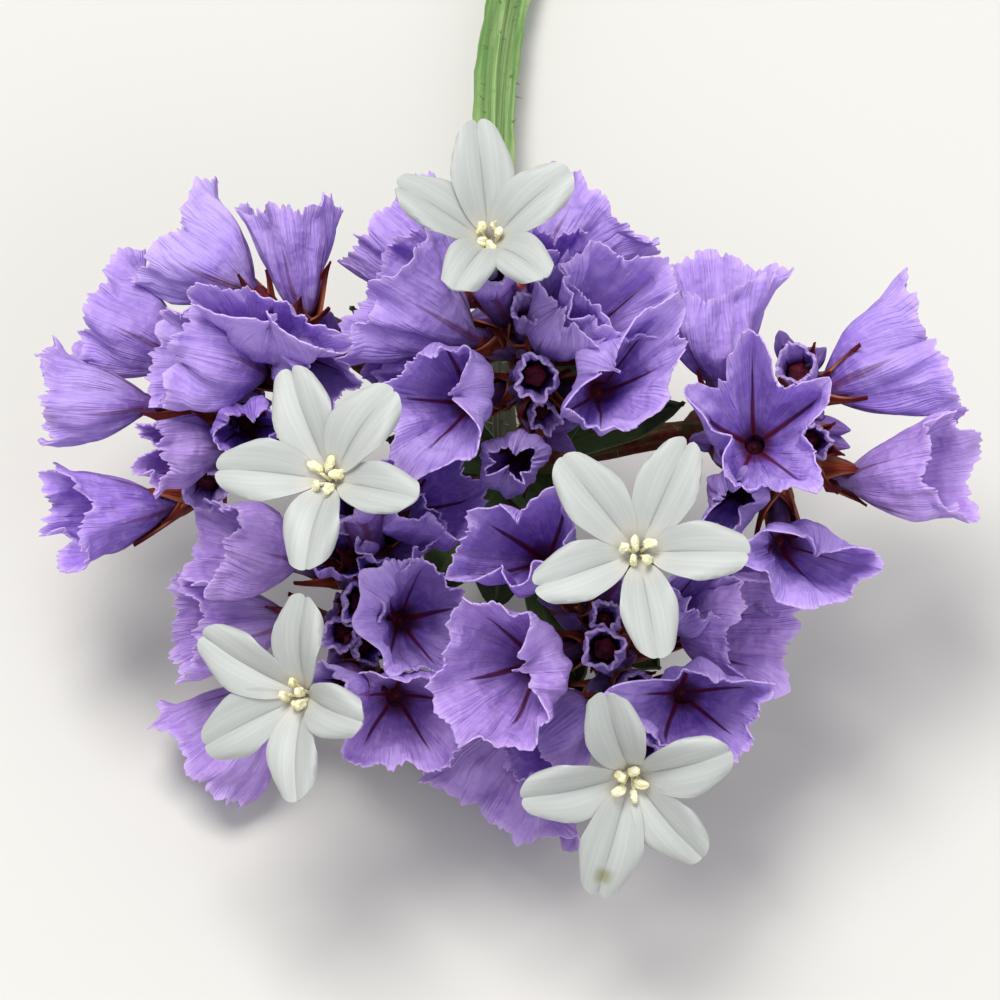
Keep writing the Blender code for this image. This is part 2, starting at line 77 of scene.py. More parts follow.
def lean(degrees, towards):
    """A direction that leans off the head's axis by degrees, towards a direction across its face."""
    tilt = math.radians(degrees)
    return W * math.cos(tilt) + around_face(towards) * math.sin(tilt)


def across(axis, wide):
    """Two directions square to axis, the first as near as can be to the wanted wide direction."""
    first = (wide - axis * wide.dot(axis)).normalized()
    return first, axis.cross(first)


print("head at", [round(x, 1) for x in HEAD_AT], "mm")

# %% [markdown]
# ## Camera, floor and light
#
# The photograph looks straight into the flower head from close by with a long lens, so the camera
# stands on the head's axis and looks down on the lying sprig. The floor is plain and pale. A large
# soft lamp almost straight above brightens the side of each fold that faces the stem, as in the
# photograph, and a pale sky fills the shade.

# %% Camera
SPAN = 66.7
CAMERA_FROM_HEAD = 450
SENSOR = 36

camera = bpy.data.objects.new("camera", bpy.data.cameras.new("camera"))
bpy.context.scene.collection.objects.link(camera)
camera.data.sensor_width = SENSOR
camera.data.lens = SENSOR * CAMERA_FROM_HEAD / SPAN
camera.data.clip_start = 0.01
camera.location = head(0, 0, 8 + CAMERA_FROM_HEAD) * MM
camera.rotation_euler = (math.pi / 2 - HEAD_ELEVATION, 0, 0)
bpy.context.scene.camera = camera
print("lens", round(camera.data.lens), "mm")

# %% Light
FLOOR_HALF = 1.5
LAMPS = (
    ("key", (-0.15, 0.14, 0.75), 0.35, 5.9, (1.0, 0.99, 0.97)),
    ("fill", (0.35, -0.5, 0.45), 0.5, 1.6, (0.95, 0.97, 1.0)),
)


def lamp(name, place, size, power, colour):
    """A square area lamp that faces the flower head."""
    made = bpy.data.objects.new(name, bpy.data.lights.new(name, "AREA"))
    bpy.context.scene.collection.objects.link(made)
    made.data.size, made.data.energy, made.data.color = size, power, colour
    made.location = place
    made.rotation_euler = (HEAD_AT * MM - made.location).to_track_quat("-Z", "Y").to_euler()


for plan in LAMPS:
    lamp(*plan)
world = bpy.data.worlds.new("sky")
world.use_nodes = True
world.node_tree.nodes["Background"].inputs["Color"].default_value = (0.92, 0.94, 1.0, 1)
world.node_tree.nodes["Background"].inputs["Strength"].default_value = 0.72
bpy.context.scene.world = world
bpy.context.scene.view_settings.view_transform = "Standard"
print("lamps:", len(LAMPS))

# %% [markdown]
# ## Shader sums
#
# A pattern is a sum on sockets: how far a spot is from a rib, times how far along the calyx it is.
# Written as nodes that is hard to read, so this small class lets a socket stand in an ordinary
# expression, where each operator adds its Math node.


# %% Shader sums
class Wire:
    """A node's output that can be used in sums. Wire(tree) alone has no output and only adds nodes."""

    def __init__(self, tree, socket=None):
        self.tree, self.socket = tree, socket

    def node(self, kind, settings=None, sockets=None, output=0):
        """Adds a node: its settings first, then a value or a wire for each of its sockets."""
        made = self.tree.nodes.new("ShaderNode" + kind)
        for name, setting in (settings or {}).items():
            setattr(made, name, setting)
        for place, value in (sockets or {}).items():
            if isinstance(value, Wire):
                self.tree.links.new(value.socket, made.inputs[place])
            else:
                made.inputs[place].default_value = value
        return Wire(self.tree, made.outputs[output])

    def sum(self, operation, first, second=0.0):
        return self.node("Math", {"operation": operation}, {0: first, 1: second})

    def __add__(self, other):
        return self.sum("ADD", self, other)

    __radd__ = __add__

    def __mul__(self, other):
        return self.sum("MULTIPLY", self, other)

    __rmul__ = __mul__

    def __sub__(self, other):
        return self.sum("SUBTRACT", self, other)

    def __rsub__(self, other):
        return self.sum("SUBTRACT", other, self)

    def __truediv__(self, other):
        return self.sum("DIVIDE", self, other)

    def step(self, low, high, start=0.0, end=1.0):
        """A smooth change from start to end as this wire goes from low to high."""
        settings = {"interpolation_type": "SMOOTHSTEP"}
        sockets = {0: self, 1: low, 2: high, 3: start, 4: end}
        return self.node("MapRange", settings, sockets)

    def parts(self):
        """A vector's three numbers."""
        apart = self.node("SeparateXYZ", {}, {0: self})
        return [Wire(self.tree, output) for output in apart.socket.node.outputs]

    def noise(self, scale, detail, stretch=(1, 1, 1)):
        """Soft noise over this vector, finer where stretch is larger."""
        spot = self.node("Mapping", {}, {0: self, 3: stretch})
        return self.node("TexNoise", {}, {"Vector": spot, "Scale": scale, "Detail": detail})

    def paint(self, under, over):
        """The colour over laid on the colour under, with this wire as its strength."""
        return self.node("Mix", {"data_type": "RGBA"}, {0: self, 6: under, 7: over}, output=2)


def colour(red, green, blue):
    """A colour given as in a picture, from 0 to 255, in the shader's own linear numbers."""
    linear = []
    for part in (red, green, blue):
        share = part / 255
        linear.append(share / 12.92 if share <= 0.04045 else ((share + 0.055) / 1.055) ** 2.4)
    return (*linear, 1.0)


def new_material(name, roughness, gloss=0.5):
    """A material with its principled shader, and a wire to start sums from."""
    made = bpy.data.materials.new(name)
    made.use_nodes = True
    shader = made.node_tree.nodes["Principled BSDF"]
    shader.inputs["Roughness"].default_value = roughness
    shader.inputs["Specular IOR Level"].default_value = gloss
    return made, shader, Wire(made.node_tree)


def link(wire, shader, socket):
    wire.tree.links.new(wire.socket, shader.inputs[socket])


def let_light_through(made, shader, share, paint):
    """Mixes in a translucent shader of the colour paint, as a thin petal lets light through."""
    tree = made.node_tree
    through = tree.nodes.new("ShaderNodeBsdfTranslucent")
    mixed = tree.nodes.new("ShaderNodeMixShader")
    mixed.inputs[0].default_value = share
    tree.links.new(paint.socket, through.inputs["Color"])
    tree.links.new(shader.outputs[0], mixed.inputs[1])
    tree.links.new(through.outputs[0], mixed.inputs[2])
    tree.links.new(mixed.outputs[0], tree.nodes["Material Output"].inputs["Surface"])


print("shader sums ready")

# %% [markdown]
# ## The papery calyx
#
# A statice calyx is a funnel of lilac paper. It is deep violet in its throat and paler towards its
# rim, which is frayed and nearly white. Five dark red ribs run out from the throat and stop short of
# the rim, and fine wrinkles fan out between them, with painted highlights along them. The inner side
# is painted darker towards the throat as painted shade in the cup, and the throat's dark red is
# partly its own colour and partly painted shade. The pattern follows the sheet, so each sheet carries
# two attributes: `place` holds the direction round the funnel and how far out a point is, from -1 at
# the root over 0 at the throat to 1 at the rim, and `tint` holds how pink and how pale this calyx is,
# and which side of the sheet a point is on.

# %% Calyx paper
RIBS = 5
RIB_SPACING = math.tau / RIBS
PAPER_ROUGHNESS = 0.6
PAPER_GLOSS = 0.25
LIGHT_THROUGH_PAPER = 0.38
THROAT_R = 0.78
LIMB_FLARE = 3.3


def calyx_paper():
    made, shader, start = new_material("calyx_paper", PAPER_ROUGHNESS, PAPER_GLOSS)
    place = start.node("Attribute", {"attribute_name": "place"}, output="Vector")
    tint = start.node("Attribute", {"attribute_name": "tint"}, output="Vector")
    around_x, around_y, out = place.parts()
    pink, pale, inside = tint.parts()

    turn = out.sum("ARCTAN2", around_y, around_x) / RIB_SPACING
    to_rib = turn.sum("PINGPONG", turn, 0.5)
    off_rib = to_rib * RIB_SPACING * (out.sum("MAXIMUM", out, 0.0) * LIMB_FLARE + THROAT_R)
    spot = start.node("TexCoord", {}, {}, output="Object")
    streaks = place.noise(1.0, 2.0, (15, 15, 1.5))
    threads = place.noise(1.0, 1.0, (34, 34, 2.2))
    blotches = spot.noise(240.0, 1.0)
    crinkles = spot.noise(1500.0, 1.0)
    dimples = spot.noise(700.0, 0.0)

    limb = out.step(0.05, 0.6).paint(colour(146, 104, 216), colour(182, 144, 234))
    limb = out.step(0.45, 1.0).paint(limb, colour(192, 154, 240))
    limb = (pink * 0.8).paint(limb, colour(200, 158, 218))
    limb = (pale * out.step(0.1, 0.8)).paint(limb, colour(212, 192, 246))
    limb = (streaks.step(0.46, 0.7) * 0.25).paint(limb, colour(140, 98, 216))
    # Painted highlight: lighter lines along the fine wrinkles.
    limb = (threads.step(0.52, 0.7) * 0.2).paint(limb, colour(214, 192, 248))
    limb = (crinkles.step(0.48, 0.66) * 0.35).paint(limb, colour(214, 188, 246))
    limb = (blotches.step(0.48, 0.7) * (pale * 0.45 + 0.3)).paint(limb, colour(216, 192, 246))
    # Painted shade: the inner side of the cup is darkened towards the throat.
    limb = (out.step(0.05, 0.5, 1.0, 0.0) * inside * 0.35).paint(limb, colour(108, 66, 190))
    # The throat's dark red: partly its own colour, and on the inner side mostly painted shade deep in the funnel.
    throat = out.step(0.0, 0.18, 1.0, 0.0) * (inside * 0.7 + 0.1)
    limb = throat.paint(limb, colour(98, 20, 58))
    tube = out.step(-0.35, 0.05, 1.0, 0.0)
    limb = (tube * 0.7).paint(limb, colour(86, 44, 110))
    rib_width = out.step(0.0, 0.7, 0.15, 0.045)
    rib_shape = (off_rib / rib_width).step(0.5, 1.5, 1.0, 0.0)
    rib = rib_shape * out.step(0.45, 0.72, 0.9, 0.0) * (inside * 0.4 + 0.6)
    rib_colour = out.step(0.0, 0.6).paint(colour(118, 12, 38), colour(84, 24, 84))
    limb = rib.paint(limb, rib_colour)
    edge = (out + threads * 0.06 + crinkles * 0.08).step(0.98, 1.07) * 0.7
    limb = edge.paint(limb, colour(226, 202, 246))

    link(limb, shader, "Base Color")
    relief = threads * 0.5 + crinkles * 0.5 + dimples
    bump = start.node("Bump", {}, {"Strength": 0.9, "Distance": 0.00042, "Height": relief})
    link(bump, shader, "Normal")
    let_light_through(made, shader, LIGHT_THROUGH_PAPER, limb)
    return made


PAPER = calyx_paper()
print("material:", PAPER.name)

# %% [markdown]
# ## Sheets
#
# Everything on the sprig is a thin sheet: calyces, buds, tubes and stems are rolled, petals, bracts
# and leafy wings are flat. They start from two kinds of blank. The rolled one is a circle whose edge
# is extruded upwards row by row, the flat one is a grid. A copy of the blank is then laid on a grid
# of points, row by row and side by side, which a function works out from the piece's sizes.

# %% Blanks
BLANKS = {}


def only(thing):
    """Selects this object and nothing else."""
    bpy.ops.object.select_all(action="DESELECT")
    thing.select_set(True)
    bpy.context.view_layer.objects.active = thing


def vertex_places(mesh):
    places = np.zeros(len(mesh.vertices) * 3)
    mesh.vertices.foreach_get("co", places)
    return places.reshape(-1, 3)


def rolled_blank(rows, sides):
    """A plain tube, and for each of its rows and sides the number of the vertex there."""
    bpy.ops.object.select_all(action="DESELECT")
    bpy.ops.mesh.primitive_circle_add(vertices=sides, radius=1)
    made = bpy.context.object
    bpy.ops.object.mode_set(mode="EDIT")
    for _ in range(rows - 1):
        bpy.ops.mesh.extrude_region_move(TRANSFORM_OT_translate={"value": (0, 0, 1)})
    bpy.ops.mesh.select_all(action="SELECT")
    bpy.ops.mesh.normals_make_consistent(inside=False)
    bpy.ops.object.mode_set(mode="OBJECT")
    places = vertex_places(made.data)
    side = np.round(np.arctan2(places[:, 1], places[:, 0]) / math.tau * sides).astype(int) % sides
    return made, np.round(places[:, 2]).astype(int), side


def flat_blank(rows, columns):
    """A plain grid, columns from left to right and rows upwards, and the place of each vertex in it."""
    bpy.ops.object.select_all(action="DESELECT")
    bpy.ops.mesh.primitive_grid_add(x_subdivisions=columns - 1, y_subdivisions=rows - 1, size=2)
    made = bpy.context.object
    places = (vertex_places(made.data) + 1) / 2
    return made, np.round(places[:, 1] * (rows - 1)).astype(int), np.round(places[:, 0] * (columns - 1)).astype(int)


def blank(kind, rows, sides):
    """The blank's mesh, and the number of the vertex at each row and side, made once for each size."""
    if (kind, rows, sides) not in BLANKS:
        made, row, side = kind(rows, sides)
        numbers = np.zeros((rows, sides), int)
        numbers[row, side] = np.arange(rows * sides)
        BLANKS[kind, rows, sides] = (made.data.copy(), numbers)
        bpy.data.objects.remove(made)
    return BLANKS[kind, rows, sides]


def lay_attribute(mesh, name, numbers, values):
    """Keeps three numbers for each point of the grid on the mesh."""
    ordered = np.zeros((len(mesh.vertices), 3))
    ordered[numbers.ravel()] = values.reshape(-1, 3)
    held = mesh.attributes.new(name, "FLOAT_VECTOR", "POINT")
    held.data.foreach_set("vector", ordered.ravel())


def laid(name, kind, grid, place, tint=(0, 0)):
    """A copy of a blank laid on a grid of points in millimetres, with its two attributes."""
    rows, sides, _ = grid.shape
    model, numbers = blank(kind, rows, sides)
    mesh = model.copy()
    points = np.zeros((rows * sides, 3))
    points[numbers.ravel()] = grid.reshape(-1, 3) * MM
    mesh.vertices.foreach_set("co", points.ravel())
    lay_attribute(mesh, "place", numbers, np.stack(np.broadcast_arrays(*place), axis=2))
    lay_attribute(mesh, "tint", numbers, np.broadcast_to((*tint, 0.0), grid.shape))
    made = bpy.data.objects.new(name, mesh)
    bpy.context.scene.collection.objects.link(made)
    return made


print("blanks ready")

# %% Walls and finishes


def joined(name, pieces):
    """One object from several, with its own place in the mesh."""
    only(pieces[0])
    for piece in pieces[1:]:
        piece.select_set(True)
    bpy.ops.object.join()
    pieces[0].name = pieces[0].data.name = name
    return pieces[0]


def thicken(sheet, thickness):
    """Gives a sheet its wall and marks the wall's inner side in its tint."""
    outer = len(sheet.data.vertices)
    only(sheet)
    wall = sheet.modifiers.new("wall", "SOLIDIFY")
    wall.thickness = thickness * MM
    wall.offset = -1
    bpy.ops.object.modifier_apply(modifier="wall")
    tint = sheet.data.attributes["tint"]
    values = np.zeros(len(sheet.data.vertices) * 3)
    tint.data.foreach_get("vector", values)
    values[3 * outer + 2 :: 3] = 1
    tint.data.foreach_set("vector", values)


def dress(piece, material, node):
    """Finishes a piece: its material, smooth shading, and the solid that it stands for."""
    piece.data.materials.clear()
    piece.data.materials.append(material)
    only(piece)
    bpy.ops.object.shade_smooth_by_angle(angle=math.radians(36))
    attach(piece, "root")
    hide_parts(node)
    print(piece.name, len(piece.data.polygons), "faces")


print("sheets ready")

# %% [markdown]
# ## The shape of a calyx
#
# Cut lengthwise, a calyx's wall is one line: up the narrow tube, out through the throat and along the
# flaring limb. The wall's line is followed step by step, with an angle to the axis that changes along
# the way, so a lobe can curl out or fold in over the mouth and still keep its length, as paper does.
# The rim is frayed with teeth, and small waves grow towards it.

# %% Creased paper
CREASES = ((13, 0.34), (31, 0.12))
KINK = 29
NOTCHES = 4
NOTCH_HALF = 6.0
NOTCH_DEPTH = 0.7
RIDGES = 5
CRUMPLE = 0.62
crumple_chance = random.Random("crumple")


def as_array(vector):
    return np.array(vector, float)


def bump_around(angles, middle, half):
    """1 at the middle direction, falling to 0 at half as many degrees to either side of it."""
    apart = np.degrees(np.abs(np.angle(np.exp(1j * (angles - math.radians(middle))))))
    return np.where(apart < half, np.cos(np.pi / 2 * np.clip(apart / half, 0, 1)) ** 2, 0)


def crease_set(count, chance):
    """Sharp folds all round a sheet that go up and down in turn, each with its own height and slant."""
    spacing = math.tau / count
    folds = [(i + chance.uniform(-0.33, 0.33)) * spacing for i in range(count)]
    heights = [chance.uniform(0.45, 1.0) * (1 if i % 2 else -1) for i in range(count)]
    slant = chance.uniform(-0.35, 0.35)
    return lambda angles, out: np.interp(angles + slant * out, folds, heights, period=math.tau)


def crumple_set(chance):
    """Slanting ridges that cross one another and break a sheet into facets."""
    ridges = [(chance.choice((-1, 1)) * chance.randint(4, 12), chance.uniform(-11, 11)) for _ in range(RIDGES)]
    starts = [chance.uniform(0, math.tau) for _ in ridges]

    def heights(angles, out):
        waves = [around * angles + along * out + at for (around, along), at in zip(ridges, starts)]
        return sum(np.arcsin(np.sin(wave)) for wave in waves) * 2 / (math.pi * RIDGES)

    return heights


print("creases round a calyx:", [count for count, _ in CREASES])

# %% Calyx shape
CALYX_SIDES = 144
TUBE_ROWS = 4
LIMB_ROWS = 20
TUBE_BASE_R = 0.62
PLEAT_DEPTH = 0.14
LOBE_RISE = 0.6
RIM_POINTS = 20
RIM_RAGGEDNESS = 0.4
BELLY = math.radians(23)
TOOTH_HEIGHT = 0.25
LIP = 46
LIP_FROM = 0.86
FLOOR_CLEAR = 0.1


def calyx(root, throat, mouth, half_width, flatness, degrees, rim, chance, tint, folds, turn, star, radii, sides, rough):
    """A calyx sheet. folds has (direction round the mouth, how wide, bend in degrees, extra length).

    star says how much its ribs stand out, radii are those of the tube's foot and of the throat, and
    rough says how creased the paper is.
    """
    tube_axis, limb_axis = (throat - root).normalized(), (mouth - throat).normalized()
    bend_axis = (tube_axis + limb_axis).normalized()
    wide = W.cross(limb_axis) if degrees is None else around_face(degrees)
    base_r, throat_r = radii
    angles = np.arange(sides) * math.tau / sides
    turn = math.radians(turn - (degrees or 0))
    ribs = np.cos(RIBS * (angles - turn))
    pleats = np.arcsin(ribs) * 2 / np.pi
    fluted = 1 + 0.08 * ribs * star

    def ring(centre, axis, radius):
        first, second = across(axis, wide)
        outwards = np.outer(np.cos(angles), as_array(first)) + np.outer(np.sin(angles), as_array(second))
        return as_array(centre) + outwards * (radius * fluted)[:, None]

    rows = []
    for share in np.arange(TUBE_ROWS) / TUBE_ROWS:
        axis = tube_axis.lerp(bend_axis, share)
        rows.append(ring(root.lerp(throat, share), axis, base_r + (throat_r - base_r) * share))

    first, second = across(limb_axis, wide)
    flat = np.outer(np.cos(angles) * half_width, as_array(first))
    flat += np.outer(np.sin(angles) * half_width * flatness, as_array(second))
    reach = np.linalg.norm(flat, axis=1)
    outwards = flat / reach[:, None]
    ragged = np.interp(angles, np.arange(RIM_POINTS + 1) * math.tau / RIM_POINTS, [*rim, rim[0]])
    calm = 1 - (1 - flatness) * np.abs(np.cos(angles)) ** 6
    height = (mouth - throat).length + (LOBE_RISE * star * ribs + RIM_RAGGEDNESS * ragged) * calm
    bend = np.zeros(sides)
    for middle, half, degrees_more, extra in folds:
        window = bump_around(angles, middle - (degrees or 0), half)
        bend += window * degrees_more
        height += window * extra
    opening = np.arctan2(reach - throat_r, height)
    length = np.hypot(reach - throat_r, height)
    for _ in range(NOTCHES):
        off = np.degrees(np.abs(np.angle(np.exp(1j * (angles - chance.uniform(0, math.tau))))))
        length = length - rough * chance.uniform(0.2, 1) * NOTCH_DEPTH * np.clip(1 - off / NOTCH_HALF, 0, 1)
    kinks = []
    for lobe in range(RIBS):
        window = bump_around(angles, math.degrees(turn) + lobe * 72 + 36 + chance.uniform(-15, 15), 60)
        kinks.append((window * math.radians(rough * chance.uniform(-KINK, KINK)), chance.uniform(0.35, 0.8)))
    creases = [(size, crease_set(count, chance)) for count, size in CREASES]
    creases.append((CRUMPLE, crumple_set(crumple_chance)))
    lip_pattern = crease_set(9, chance)
    lip = np.radians(LIP * np.clip(0.3 + 0.7 * lip_pattern(angles, 0), -0.4, 1))
    teeth = np.array([chance.uniform(-1, 1) for _ in range(sides)])
    teeth = TOOTH_HEIGHT * (teeth + crease_set(sides // 5, chance)(angles, 0)) * rough * calm

    radial, axial = np.full(sides, throat_r), np.zeros(sides)
    step = 1 / (LIMB_ROWS - 1)
    for row in range(LIMB_ROWS):
        out = row * step
        if row:
            middle = out - step / 2
            angle = opening + BELLY * (1 - 2 * middle)
            angle = angle + np.radians(bend) * np.clip((middle - 0.35) / 0.5, 0, 1) ** 1.5 * 1.3
            for window, at in kinks:
                angle = angle + window * (1 if middle > at else -0.3)
            angle = angle + lip * (middle > LIP_FROM)
            radial = radial + np.sin(angle) * length * step
            axial = axial + np.cos(angle) * length * step
        pleat = PLEAT_DEPTH * star * min(out * 2.2, 1) * pleats * np.abs(radial)
        creased = sum(size * pattern(angles, out) for size, pattern in creases)
        sway = creased * rough * (0.3 + half_width / 5) * out**0.9 * calm
        tooth = teeth * out**14
        spread = radial + pleat + sway * np.cos(opening) + tooth * np.sin(opening)
        raised = axial - sway * np.sin(opening) + tooth * np.cos(opening)
        rows.append(as_array(throat) + outwards * spread[:, None] + np.outer(raised, as_array(limb_axis)))
    grid = np.array(rows)
    grid[:, :, 2] = np.maximum(grid[:, :, 2], FLOOR_CLEAR)
    outs = np.concatenate((np.arange(TUBE_ROWS) / TUBE_ROWS - 1, np.arange(LIMB_ROWS) * step))
    turned = angles - turn
    place = (np.cos(turned), np.sin(turned), outs[:, None])
    return laid("calyx", rolled_blank, grid, place, tint)


print("calyx:", CALYX_SIDES, "sides")

# %% [markdown]
# ## The plan of the head
#
# The head has five one-sided spikes. Each list below names a spike's rachis, the line that carries
# its flowers, and then its calyces, buds and open flowers, with the places that the solids have. To
# these the calyces add what a person sees when comparing them: how pink and how pale each one is, how
# its ribs are turned, and which of its lobes curl out or fold in.

# %% Plan
PLAIN = (0.0, 0.0)
PALE = (0.0, 0.9)
PINK = (0.7, 0.2)
SOFT = (0.3, 0.4)


def row(throat, mouth, half_width, flatness, degrees, tint=PLAIN, folds=(), turn=0, star=0.55):
    return throat, mouth, half_width, flatness, degrees, tint, folds, turn, star


